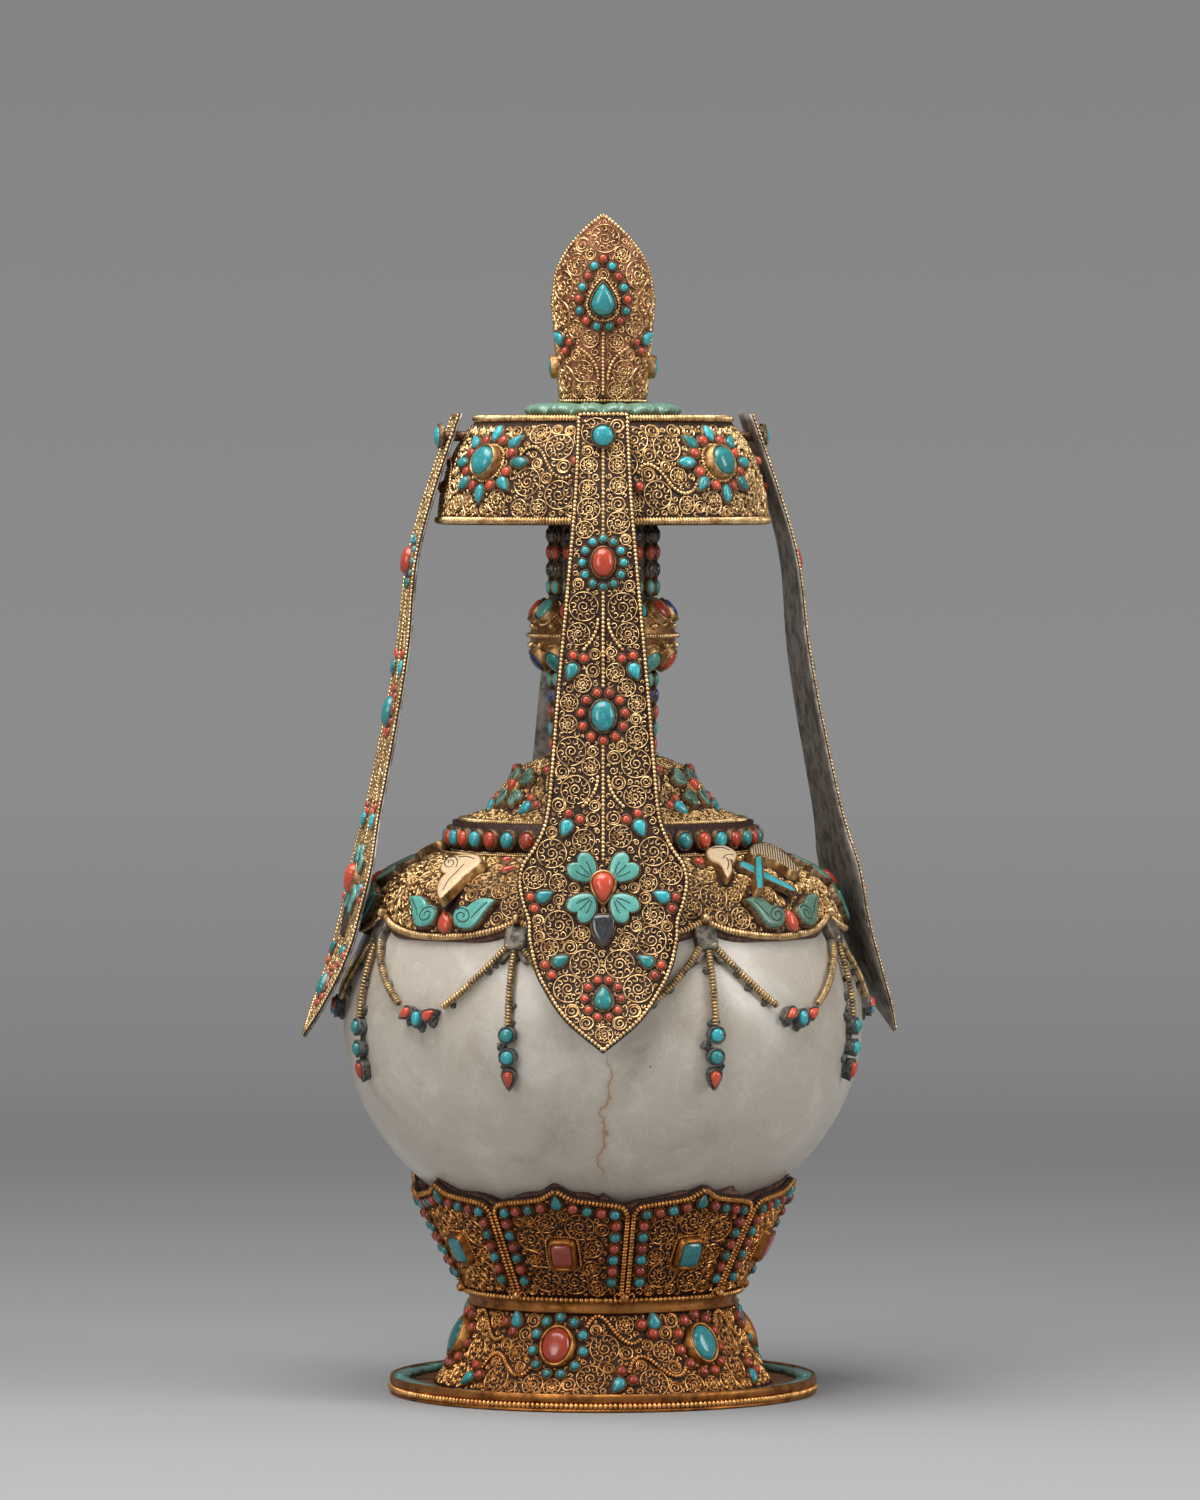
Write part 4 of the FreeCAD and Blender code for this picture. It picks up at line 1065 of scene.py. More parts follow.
def petal_stones(stones, k):
    middle = petal_first + 360.0 / petal_count * k
    half = 180.0 / petal_count
    kind = "coral" if k % 2 == 0 else "turquoise"
    level = petals.level(45.7)
    stones.set(petals, middle, level, kind, box_outline(6.3, 8.2), rise=1.7, wall=0.9, setting=2.2,
               rings=step_rings)
    tip = petals.length - 4.9
    stones.set(petals, middle, tip, "turquoise", drop_outline(3.4, 4.8), rise=1.5, wall=0.35)
    for way in (-1, 1):
        for j, share in enumerate((0.22, 0.41, 0.60, 0.78)):
            a = middle + way * share * half
            kind = "turquoise" if j % 2 else "coral"
            round_stone(stones, petals, a, float(petal_top(a)) - 3.7, kind, 3.0)
        corner = float(petal_top(middle + 0.78 * half)) - 3.7
        for j in range(6):
            v = corner - 3.9 * (j + 1)
            a = middle + way * (half - 4.1 / float(petals.scale(v)))
            round_stone(stones, petals, a, v, "coral" if j % 2 == 0 else "turquoise", 3.0)


def make_petals():
    sheet_piece("petal_sheet", petals, 0.0, petal_top, "vase", ["petal_cup"], lifts=(-1.2, 0.0), rows=8)
    stones, beads = Stones(), Heap()
    for k in range(petal_count):
        middle = petal_first + 360.0 / petal_count * k
        petal_stones(stones, k)
        bead_line(beads, petals, petal_border(middle), radius=petal_wire, pitch=1.1)
        bead_loop(beads, petals, middle, petals.level(45.7), box_outline(9.9, 11.4), 0.5, 0.9)
        valley = middle + 180.0 / petal_count
        ball(beads, petals, valley, 1.9, 1.5, 0.3)
        for way in (-1, 1):
            curl = smoothed([(way * 1.2, 2.4), (way * 2.4, 3.0), (way * 2.8, 1.8), (way * 2.0, 1.0)], 4)
            line = np.stack(petals.local(valley, 0.0, curl), axis=1)
            bead_line(beads, petals, line, radius=0.45, pitch=0.8, lift=0.9)
    bead_ring(beads, petals, 0.5, 0.9, 1.5)
    gilt("petal_beads", beads, "vase", "beads", ["petal_ribs"])
    put_stones("petal", stones, "vase", {"coral": ["petal_coral"], "turquoise": ["petal_turquoise"],
                                        "settings": ["petal_bezels"]})

    def room_at(a, v):
        room = np.minimum(v - 1.5, (petal_top(a) - 1.6 - v) * 0.9)
        side = np.abs((a - petal_first + 22.5) % 45.0 - 22.5)
        room = np.minimum(room, (22.5 - side) * petals.scale(v) - 1.6)
        return np.minimum(room, circle_room(petals, a, v, stones.circles))
    wires = filigree(petals, (-180, 180), (0, petals.length), room_at, 31, wraps=True)
    gilt("petal_wires", wires, "vase", "wire")


# Shoulder

shoulder_reach = 1.2
shoulder = Surface(smoothed([(crystal_reach(shoulder_edge) + shoulder_reach, shoulder_edge), (69.2, 149.0),
                             (63.2, 156.0), (47.6, collar_level)], 10))
lobe_count = 8
cusp_first = 24.5
lobe_edge = ((0.0, 0.0), (0.4, 0.75), (0.75, 2.7), (1.0, 5.6))
lobe_shift = 3.0
comma_drawn = (
    (2.8, 1.5), (3.2, -0.8), (5.1, -1.9), (7.4, -1.7), (9.3, 0.0), (11.2, 3.0), (13.5, 6.0), (13.6, 6.8),
    (11.3, 7.2), (9.3, 6.6), (7.6, 5.3), (6.6, 4.3), (5.3, 4.6), (3.6, 3.6),
)
comma_head = (5.3, 1.6)
drop_drawn = ((-0.1, 3.5), (-1.5, 0.6), (-1.9, -1.5), (-0.3, -3.4), (1.3, -2.2), (1.9, 0.0), (1.2, 2.0))
conch_drawn = (
    (-4.65, -7.0), (-3.5, -6.2), (-1.4, -3.5), (0.8, -0.7), (3.5, 2.1), (5.7, 4.2), (6.1, 5.5),
    (5.0, 6.7), (2.7, 7.1), (0.1, 6.7), (-2.4, 6.1), (-4.5, 5.0), (-5.7, 3.5), (-5.9, 2.0), (-5.0, 0.95),
    (-4.0, 0.6), (-4.8, -0.5), (-5.7, -2.0), (-5.9, -3.9), (-5.5, -5.8),
)
conch_head = (-3.1, 3.9)
horn_drawn = (
    (1.6, -5.1), (2.6, -4.2), (2.9, -2.4), (2.5, -0.6), (3.5, -1.0), (4.5, 0.4), (4.3, 1.5), (3.0, 2.6),
    (0.8, 3.5), (-1.9, 3.5), (-3.9, 2.7), (-4.3, 1.4), (-3.4, 0.0), (-1.1, -1.1), (0.1, -2.6),
    (0.8, -4.4),
)
comb_drawn = (
    (-6.8, 1.5), (-5.5, 0.2), (-3.4, 0.3), (-0.4, -0.5), (2.3, -1.8), (4.9, -3.7), (7.2, -4.0),
    (7.1, -2.8), (4.2, 0.6), (1.1, 2.5), (-1.9, 3.7), (-4.9, 3.9), (-6.6, 2.8),
)
upright_drawn = (
    (-1.0, 4.5), (-1.0, 0.0), (-1.0, -4.3), (0.0, -4.6), (1.0, -4.3), (1.0, 0.0), (1.0, 4.5), (0.0, 4.7),
)
slanted_drawn = (
    (-7.8, 3.3), (-3.9, 1.0), (0.4, -1.0), (7.6, -4.5), (8.0, -3.6), (3.9, -1.3), (0.0, 0.9), (-7.2, 4.6),
)
comb_ribs = 18
lobe_resin = ((0.2, -0.2), (-1.2, -0.5), (-1.9, -1.3), (0.4, -1.4))


def lobe_bottom(a):
    return wave(a, cusp_first + 22.5, lobe_count, lobe_edge)


def drawn(middle, azimuth, z, points, cuts=(), way=1):
    """Ornament drawn as seen on a front lobe: azimuth from the lobe's middle, v, outline and cuts."""
    v = shoulder.level(z)
    line = smoothed(list(points) + [points[0]], 2)[:-1]
    outline = facing(shoulder, middle + azimuth, v, line, way)[::way]
    cuts = [facing(shoulder, middle + azimuth, v, cut, way) - outline.mean(axis=0) for cut in cuts]
    return azimuth, v, outline, cuts


def crossing(outline, x):
    """Lowest and highest point of a smoothed outline at x."""
    outline = smoothed(list(outline) + [outline[0]], 4)
    before, after = outline[:-1], outline[1:]
    hit = (before[:, 0] - x) * (after[:, 0] - x) < 0
    share = (x - before[hit, 0]) / (after - before)[hit, 0]
    heights = before[hit, 1] + share * (after - before)[hit, 1]
    return heights.min(), heights.max()


def comb_cuts():
    x = np.array(comb_drawn)[:, 0]
    places = np.linspace(x.min(), x.max(), comb_ribs + 2)[1:-1]
    spans = [(place, *crossing(comb_drawn, place)) for place in places]
    return [((place, low + 0.1), (place, high - 0.1)) for place, low, high in spans]


left_middle = cusp_first + 22.5 - 90.0
right_middle = cusp_first + 22.5
comma_cuts = (spiral(comma_head, 2.6, 0.5, 1.5, 2.4, -1), ((7.9, 1.2), (9.6, 3.3), (12.2, 6.0)))
conch_cuts = (spiral(conch_head, 2.5, 0.4, 1.7, -0.6, 1), ((-0.7, 5.8), (2.0, 6.0), (4.3, 5.4)),
              ((-3.9, -4.8), (-2.6, -1.6), (-0.6, 0.9), (1.4, 3.6)))
horn_cuts = (((-2.9, 2.6), (0.0, 2.7), (2.4, 1.8)), ((1.4, -3.6), (1.9, -1.8), (1.3, -0.2)),
             ((0.2, -0.4), (1.4, 0.6), (3.4, 0.5)))
commas = [drawn(left_middle, lobe_shift, 143.6, comma_drawn, comma_cuts, way) for way in (1, -1)]
lobe_drop = drawn(left_middle, lobe_shift, 143.6, drop_drawn)
conch = drawn(left_middle, lobe_shift, 155.0, conch_drawn, conch_cuts)
horn = drawn(right_middle, -7.5, 160.2, horn_drawn, horn_cuts)
comb = drawn(right_middle, 16.5, 159.6, comb_drawn, comb_cuts())
upright = drawn(right_middle, -1.5, 156.0, upright_drawn)
slanted = drawn(right_middle, 1.5, 155.6, slanted_drawn)


def ornament(stones, middle, shape, kind, rise, setting, rings=flat_rings):
    azimuth, v, outline, cuts = shape
    seat = stones.set(shoulder, middle + azimuth, v, kind, outline, rise=rise, wall=0.35, setting=setting,
                      rings=rings)
    for cut in cuts:
        stones.cut(seat, cut, rise)


def lobe_foot_stones(stones, middle, kind):
    """Pair of carved commas and a coral drop at the foot of a lobe."""
    ornament(stones, middle, lobe_drop, "coral", 2.0, 1.2, dome_rings)
    for comma in commas:
        ornament(stones, middle, comma, kind, 1.6, 1.6)


def leaf_cluster(stones, middle):
    """Carved green leaves round a coral oval."""
    v = shoulder.level(153.0)
    stones.set(shoulder, middle, v, "coral", oval_outline(5.0, 7.0), rise=2.2, wall=0.5, setting=2.0)
    for angle in (-115, -72, -28, 28, 72, 115, 180):
        reach = 9.4
        spot = [(-reach * math.sin(math.radians(angle)), reach * math.cos(math.radians(angle)))]
        (a,), (up,) = shoulder.local(middle, v, spot)
        stones.set(shoulder, a, up, "jade", marquise_outline(7.0, 11.2), rise=1.3, wall=0.4, setting=1.8,
                   rings=carved_rings, angle=angle)


def conch_lobe(stones, middle):
    ornament(stones, middle, conch, "bone", 1.5, 2.6)
    for da, z, width, height, angle in ((10.5, 161.0, 2.0, 3.4, -80), (14.5, 158.6, 2.6, 4.6, -62),
                                        (-5.0, 159.0, 2.0, 2.4, 0)):
        stones.set(shoulder, middle + da, shoulder.level(z), "coral", drop_outline(width, height), rise=1.4,
                   wall=0.35, angle=angle)


def comb_lobe(stones, middle):
    ornament(stones, middle, horn, "bone", 1.5, 1.9)
    round_stone(stones, shoulder, middle - 16.0, shoulder.level(160.2), "coral", 3.4)
    ornament(stones, middle, slanted, "turquoise", 0.9, 1.6)
    ornament(stones, middle, upright, "turquoise", 0.9, 3.0)
    ornament(stones, middle, comb, "bone", 1.1, 2.4)


def make_shoulder():
    sheet_piece("shoulder_sheet", shoulder, lobe_bottom, shoulder.length, "vase", ["shoulder_dome"])
    beads, stones, edge = Heap(), Stones(), Heap()
    a = np.arange(360.0)
    bead_line(beads, shoulder, np.stack([a, lobe_bottom(a) + 0.9], axis=1), True, 1.12, 1.05, 0.35)
    bead_ring(beads, shoulder, shoulder.length - 0.9, 0.42, 0.9)
    for k in range(lobe_count):
        cusp = cusp_first + 360.0 / lobe_count * k
        ball(beads, shoulder, cusp, float(lobe_bottom(cusp)) + 1.2, 1.5, 0.8)
        middle = cusp + 180.0 / lobe_count
        lobe_foot_stones(stones, middle, "jade" if k in (0, 4) else "green")
        if k in (2, 6):
            conch_lobe(stones, middle)
        elif k in (0, 4):
            comb_lobe(stones, middle)
        else:
            leaf_cluster(stones, middle)
    low = lobe_bottom(a)
    rows = [shoulder.at(a, low + up, lift) for up, lift in lobe_resin]
    edge.add(np.concatenate(rows), [grid_faces(4, len(a), closed_rows=True, closed_columns=True)])
    gilt("shoulder_beads", beads, "vase", "shaded_beads")
    put("shoulder_resin", edge, "vase", "resin", materials["resin"])
    put_stones("shoulder", stones, "vase", {
        "turquoise": ["shoulder_scrolls"], "coral": ["shoulder_drops"], "bone": ["shoulder_emblems"]})

    def room_at(a, v):
        room = np.minimum((v - lobe_bottom(a) - 2.0) * 0.92, shoulder.length - 1.5 - v)
        return np.minimum(room, circle_room(shoulder, a, v, stones.circles))
    wires = filigree(shoulder, (-180, 180), (0, shoulder.length), room_at, 41, wraps=True)
    gilt("shoulder_wires", wires, "vase", "shaded_wire")


# Swags and pendants

swag_azimuths = [cusp_first + 22.5 + 45.0 * k for k in range(lobe_count)]
pendant_azimuths = [cusp_first + 45.0 * k for k in range(lobe_count)]
clip_level = shoulder_edge + 1.1
swag_fall = 24.0
swag_lift = 1.6
swag_drops = ((-4.7, 1.3, "coral", 120), (0, 0, "turquoise", 0), (4.7, 1.3, "coral", -60))
swag_wire = 1.15
pendant_levels = (111.8, 105.6, 99.4)


def lump_outline(size, rng):
    """Uneven outline of a blob of resin."""
    count = 12
    angle = np.arange(count) * TAU / count
    reach = size * rng.uniform(0.55, 1.0, count)
    return np.stack([reach * np.cos(angle), reach * np.sin(angle)], axis=1)


def deep_setting(heap, surface, a, v, outline, height, lift):
    """Box setting of a stone that stands off the crystal."""
    middle = outline.mean(axis=0)
    grown = middle + (outline - middle) * 1.42
    raised(heap, surface.frame(a, v, lift), grown, height, deep_rings)


def make_swags():
    wires, deep, clips, lumps = Heap(), Heap(), Heap(), Heap()
    kinds = {"coral": Heap(), "turquoise": Heap()}
    rng = np.random.default_rng(9)

    def stone_on(a, v, kind, outline):
        deep_setting(deep, crystal, a, v, outline, 2.4, 0.5)
        raised(kinds[kind], crystal.frame(a, v, 2.6), outline, 1.5)

    def lump(a, v, size):
        raised(lumps, crystal.frame(a, v, 0.1), lump_outline(size, rng), rng.uniform(0.7, 1.5))
    low = clip_level - swag_fall
    for middle in swag_azimuths:
        share = np.linspace(-0.94, 0.94, 41)
        share = share[np.abs(share) > 0.26]
        for side in (share[share < 0], share[share > 0]):
            z = low + swag_fall * np.abs(side) ** 1.5
            line = np.stack([middle + 22.5 * side, [crystal.level(h) for h in z]], axis=1)
            bead_line(wires, crystal, line, radius=swag_wire, pitch=1.0, lift=swag_lift)
            for place in rng.uniform(0.15, 0.95, 3):
                a, v = line[int(place * (len(line) - 1))]
                lump(a + rng.uniform(-0.5, 0.5), v - rng.uniform(0.6, 1.6), rng.uniform(0.9, 1.7))
        for offset, rise, kind, angle in swag_drops:
            v = crystal.level(low + rise)
            a = middle + offset / float(crystal.scale(v))
            outline = drop_outline(3.0, 4.4, 14) if kind == "coral" else oval_outline(3.0, 4.2, 14)
            stone_on(a, v, kind, turned_outline(outline, angle))
            lump(a, v - 2.2, 2.0)
    for middle in pendant_azimuths:
        z = np.linspace(clip_level - 3, pendant_levels[0] + 2.6, 12)
        line = np.stack([np.full(12, middle), [crystal.level(h) for h in z]], axis=1)
        bead_line(wires, crystal, line, radius=swag_wire, pitch=1.0, lift=swag_lift)
        for level, kind in zip(pendant_levels, ("turquoise", "turquoise", "coral")):
            hanging = drop_outline(3.2, 5.0, 16)[::-1] * (1, -1)
            outline = oval_outline(3.9, 3.9, 16) if kind == "turquoise" else hanging
            stone_on(middle, crystal.level(level), kind, outline)
            lump(middle + rng.uniform(-2.0, 2.0), crystal.level(level + 3), 1.8)
        for height in rng.uniform(114, 134, 3):
            lump(middle + rng.uniform(-1.3, 1.3), crystal.level(height), rng.uniform(0.9, 1.8))
        place = crystal.frame(middle, crystal.level(clip_level - 0.6), 0.2)
        raised(clips, place, box_outline(6.8, 7.6), 2.7, clip_rings)
        for way in (-1, 1):
            v = crystal.level(clip_level - 4.6)
            a = middle + way * 3.0 / float(crystal.scale(v))
            arm = turned_outline(box_outline(3.2, 6.4), way * 34)
            raised(clips, crystal.frame(a, v, 0.2), arm, 1.6, clip_rings)
    gilt("swag_coils", wires, "vase", "old_coil", ["swag_wires"])
    put("swag_boxes", deep, "vase", "dark_brass", materials["patina"], ["swag_settings"])
    put("swag_folded_clips", clips, "vase", "dark_brass", materials["grey_clip"], ["swag_clips"])
    put("swag_lumps", lumps, "vase", "resin", materials["patina"])
    for kind, heap in kinds.items():
        put("swag_%s_stones" % kind, heap, "vase", kind, materials[kind], ["swag_" + kind])


# Collar and neck

collar_radius = 45.2
collar_stones = 42
collar_first = 5.5
collar = Surface([(collar_radius, collar_level), (collar_radius, neck_level)])
neck = Surface([(43.0, neck_level), (34.0, 175.5), (26.0, 187.0), (14.8, 192.0), (14.8, bulb_level)])
neck_flowers = 6
flower_level = neck.level(181.3)
tube_rows = ((193.6, "coral"), (198.6, "turquoise"), (203.8, "coral"), (209.0, "lapis"), (214.2, "green"))
column_count = 18


def make_collar():
    sheet_piece("collar_sheet", collar, 0.0, collar.length, "vase", ["collar_band"], rows=2)
    stones = Stones()
    for k in range(collar_stones):
        kind = "coral" if k % 2 == 0 else "turquoise"
        stones.set(collar, collar_first + k * 360.0 / collar_stones, collar.length / 2 - 0.2, kind,
                   oval_outline(4.3, 4.9, 16), rise=2.2, wall=0.55, setting=1.5)
    put_stones("collar", stones, "vase", {"coral": ["collar_coral"], "turquoise": ["collar_turquoise"]})
    beads = Heap()
    bead_ring(beads, collar, 0.2, 0.5, 0.9, 0.2)
    coil_ring(beads, neck, 0.4, 0.1)
    gilt("collar_beads", beads, "vase", "shaded_beads")


def flower(stones, surface, a, v, kind, size, reach):
    """Four notched petals on the diagonals, each with three engraved lines."""
    outline = mirrored_outline(petal_shape, *size)
    for way in (-1, 1):
        for up in (-1, 1):
            angle = -way * (90 - up * 45)
            (pa,), (pv,) = surface.local(a, v, [(way * reach, up * reach * 0.97)])
            seat = stones.set(surface, pa, pv, kind, outline, rise=1.3, wall=0.35, setting=1.2,
                              rings=flat_rings, angle=angle)
            for side in (-0.24, 0.0, 0.24):
                line = np.array([(side * 0.3, -0.3), (side * 0.8, -0.05), (side, 0.22 - abs(side) * 0.3)])
                line = turned_outline(line * size - outline.mean(axis=0), angle)
                stones.cut(seat, line, 1.3, 0.15)


def make_neck():
    sheet_piece("neck_sheet", neck, 0.0, neck.length, "vase", ["neck"], rows=24)
    stones, beads, lines = Stones(), Heap(), []
    for k in range(neck_flowers):
        first = 60.0 * k
        flower(stones, neck, first, flower_level, "jade", (5.4, 5.4), 3.5)
        stones.set(neck, first, flower_level, "coral", oval_outline(3.8, 3.8, 16), rise=2.6, wall=0.6,
                   setting=2.0)
        for way in (-1, 1):
            corals = [(first + way * da, neck.level(z)) for da, z in ((18.5, 178.6), (23.5, 176.8))]
            triad(stones, neck, corals, (first + way * 17.5, neck.level(175.6)), 180 - way * 40)
            round_stone(stones, neck, first + way * 21.0, neck.level(187.0), "coral", 2.6)
            scroll = [(way * 9.0, 186.0), (way * 12.0, 189.6), (way * 19.0, 189.0), (way * 24.0, 184.0),
                      (way * 27.0, 181.0)]
            lines.append(smoothed(placed(neck, first, scroll), 4))
    for line in lines:
        bead_line(beads, neck, line, radius=0.5, pitch=0.95)
    bead_ring(beads, neck, neck.level(191.5), 0.6, 1.1)
    around_back = wrapped_lines(lines)
    taken = list(stones.circles)

    def room_at(a, v):
        room = np.minimum(v - 1.6, neck.level(190.8) - v)
        room = np.minimum(room, lines_room(neck, a, v, around_back, 0.55))
        return np.minimum(room, circle_room(neck, a, v, taken))
    wires = filigree(neck, (-180, 180), (0, neck.level(191.0)), room_at, 51, wraps=True)
    gilt("neck_wires", wires, "vase", "shaded_wire")
    gilt("neck_beads", beads, "vase", "shaded_beads")
    clad_rows(stones, neck, tube_rows)
    put_stones("neck", stones, "vase", {"jade": ["neck_flowers"], "coral": ["neck_flower_centres"]})


def clad_rows(stones, surface, rows):
    """Columns of small ovals in dark settings."""
    for z, kind in rows:
        for k in range(column_count):
            stones.set(surface, 360.0 * k / column_count, surface.level(z), kind, oval_outline(3.2, 4.2, 12),
                       rise=1.5, wall=0.4, setting=1.2)


# Bulb

bulb_middle = 227.5
bulb = Surface(smoothed([
    (15.2, bulb_level), (18.6, 221.0), (21.5, 225.5), (21.9, bulb_middle), (21.5, 229.5), (18.6, 234.0),
    (15.2, stem_level),
], 6))
bulb_upper_kinds = (
    "coral", "turquoise", "coral", "lapis", "green", "coral", "turquoise", "coral", "lapis", "coral",
    "green", "coral",
)
bulb_lower_kinds = (
    "coral", "green", "coral", "lapis", "turquoise", "green", "lapis", "coral", "turquoise", "lapis",
    "turquoise", "coral",
)


def make_bulb():
    heap = Heap()
    band(heap, bulb, 0.0, bulb.length, (-0.8, 0.0), 24)
    gilt("bulb_sheet", heap, "vase", "band", ["bulb"])
    stones, beads = Stones(), Heap()
    for z, kinds, shift, tilt in ((234.2, bulb_upper_kinds, 0.0, 1), (221.0, bulb_lower_kinds, 15.0, -1)):
        v = bulb.level(z)
        for k, kind in enumerate(kinds):
            a = shift + 30.0 * k
            stones.set(bulb, a, v, kind, oval_outline(6.4, 6.9), rise=2.2, wall=0.6, setting=2.2)
            bead_loop(beads, bulb, a, v, oval_outline(8.6, 8.9), 0.38, 0.8)
            ball(beads, bulb, a + 15.0, bulb.level(bulb_middle + tilt * 2.6), 1.0)
    bead_ring(beads, bulb, bulb.level(bulb_middle), 0.8, 1.0)
    gilt("bulb_beads", beads, "vase", "beads")
    put_stones("bulb", stones, "vase", {"turquoise": ["bulb_turquoise"], "coral": ["bulb_coral"],
                                       "lapis": ["bulb_lapis"]})


# Stopper stem, crown, lotus ring and finial

stem = Surface([(15.2, stem_level), (15.2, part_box("stopper_stem")[1].z / MM)])
stem_rows = (
    (242.0, "green"), (247.2, "onyx"), (252.4, "coral"), (257.6, "onyx"), (262.8, "green"),
    (268.0, "onyx"),
)
crown = Surface(smoothed([(49.5, crown_bottom), (48.3, crown_bottom + 9.8), (44.4, crown_bottom + 21.4),
                          (38.4, crown_level)], 8))
crown_rosettes = (-48.0, 48.0, 132.0, -132.0)
crown_stone_level = 279.0
crown_near_scroll = (
    (-35.5, 275.6), (-34.0, 277.8), (-31.4, 278.6), (-28.4, 277.6), (-25.4, 275.0), (-22.4, 271.6),
    (-18.6, 270.0), (-14.6, 271.0), (-12.6, 273.2),
)
crown_far_scroll = ((15.2, 281.0), (17.6, 283.2), (21.2, 283.6), (24.6, 281.8), (27.6, 278.2), (30.6, 275.4),
                    (34.2, 274.4), (37.0, 275.4))
crown_corals = ((-35.4, 271.8), (38.0, 279.4))


def make_stem():
    heap = Heap()
    band(heap, stem, 0.0, stem.length, (-0.8, 0.0), 2, 96)
    gilt("stem_tube", heap, "canopy", "patina", ["stopper_stem"])
    stones = Stones()
    clad_rows(stones, stem, stem_rows)
    put_stones("stem", stones, "canopy", {})


def crown_rosette(stones, beads, first):
    v = crown.level(crown_stone_level)
    tilt = 9 if first > 0 else -9
    stones.set(crown, first, v, "turquoise", oval_outline(8.8, 8.8, 24), rise=2.8, wall=0.7, setting=2.8,
               angle=tilt)
    bead_loop(beads, crown, first, v, oval_outline(12.8, 11.6), 0.55, 0.95)
    for k in range(8):
        turn = 45.0 * k
        spot = [(12.6 * math.sin(math.radians(turn)), 9.5 * math.cos(math.radians(turn)))]
        a, up = crown.local(first, v, spot)
        outline = marquise_outline(3.2, 5.8) if k % 2 == 0 else drop_outline(3.4, 5.4)
        stones.set(crown, float(a[0]), float(up[0]), "turquoise", outline, rise=1.5, wall=0.35, angle=-turn)
        spot = [(9.6 * math.sin(math.radians(turn + 22.5)), 7.6 * math.cos(math.radians(turn + 22.5)))]
        a, up = crown.local(first, v, spot)
        stones.set(crown, float(a[0]), float(up[0]), "coral", oval_outline(2.9, 3.1, 12), rise=1.4, wall=0.35,
                   angle=-turn - 22.5)


crown_rims = ((49.5, crown_bottom, 1.2, 1.2), (38.2, crown_level, 0.8, 1.1))


def make_crown():
    sheet_piece("crown_sheet", crown, 0.0, crown.length, "canopy", ["crown_wall"], lifts=(-1.4, 0.0))
    stones, beads, lines = Stones(), Heap(), []
    for reach, level, up, radius in crown_rims:
        bead_ring(beads, Surface([(reach, level), (reach, level + 3)]), up, radius, coil_pitch, 0)
    for first in crown_rosettes:
        crown_rosette(stones, beads, first)
        for scroll in (crown_near_scroll, crown_far_scroll):
            lines.append(smoothed(placed(crown, first, scroll), 4))
        for a, z in crown_corals:
            round_stone(stones, crown, first + a, crown.level(z), "coral", 2.7)
    for line in lines:
        bead_line(beads, crown, line, radius=0.62, pitch=1.1)
    gilt("crown_beads", beads, "canopy", "beads")
    put_stones("crown", stones, "canopy", {"turquoise": ["crown_turquoise"], "settings": ["crown_bezels"]})
    around_back = wrapped_lines(lines)

    def room_at(a, v):
        room = np.minimum(v - 2.2, crown.length - 1.4 - v)
        room = np.minimum(room, lines_room(crown, a, v, around_back, 0.7))
        return np.minimum(room, circle_room(crown, a, v, stones.circles))
    wires = filigree(crown, (-180, 180), (0, crown.length), room_at, 61, wraps=True)
    gilt("crown_wires", wires, "canopy", "wire")


lotus_petals = 14
lotus_profile = (
    (12.9, 296.6, 0.0), (15.5, 296.9, 0.4), (18.5, 297.0, 0.8), (21.0, 296.5, 1.0), (22.4, 295.6, 1.0),
    (22.7, 294.7, 1.0), (22.0, 294.1, 0.9), (20.8, 293.6, 0.4), (20.4, 292.4, 0.0), (20.4, 291.5, 0.0),
    (12.9, 291.5, 0.0),
)


def make_lotus():
    """Ring of carved petals, each a lobe of the wavy profile with a groove down its middle."""
    count = lotus_petals * 20
    a = np.arange(count) * TAU / count
    lobe = np.abs(np.sin(a * lotus_petals / 2)) ** 0.55
    groove = np.exp(-((np.sin(a * lotus_petals / 2 + TAU / 4) / 0.16) ** 2))
    rows = []
    for r, z, share in lotus_profile:
        reach = r + share * (2.0 * lobe - 1.2)
        height = z + share * (1.5 * lobe - 1.3 - 0.7 * groove)
        rows.append(np.stack([reach * np.sin(a), -reach * np.cos(a), height], axis=1))
    heap = Heap()
    faces = grid_faces(len(rows), count, closed_rows=True, closed_columns=True)
    heap.add(np.concatenate(rows[::-1]), [faces])
    put("lotus_carved", heap, "canopy", "turquoise", materials["jade"], ["lotus_ring"])


finial = Surface(smoothed([(12.8, finial_level), (14.2, finial_level + 18.0), (15.5, finial_level + 32.0),
                           (14.9, finial_level + 43.0), (12.6, finial_tip)], 8))
finial_side = finial_level + 24.0
leaf_half_widths = (
    (finial_side, 15.2), (329.0, 15.2), (335.5, 14.4), (341.0, 12.0), (345.8, 8.5), (350.0, 4.3),
    (finial_tip, 0.0),
)
finial_branch = ((7.9, 313.8), (4.9, 311.8), (2.7, 309.2), (1.6, 306.2), (1.35, 303.4))


def leaf_azimuth(z, inset_by=0.0):
    """Azimuth of the leaf's edge at a height."""
    line = smoothed(leaf_half_widths, 8)
    half = np.maximum(np.interp(z, line[:, 0], line[:, 1]) - inset_by, 0.0)
    reach = np.interp([finial.level(h) for h in np.atleast_1d(z)], finial.arc, finial.line[:, 0])
    return np.degrees(np.arcsin(np.minimum(half / reach, 0.995)))


def leaf_path():
    z = finial_tip - (finial_tip - finial_side) * np.linspace(0, 1, 40) ** 1.5
    right = np.stack([leaf_azimuth(z, 0.35), [finial.level(h) for h in z]], axis=1)
    right[0, 0] = 0.0
    right[:3, 1] -= 0.4
    return np.vstack([right[::-1], right[1:] * (-1, 1)])


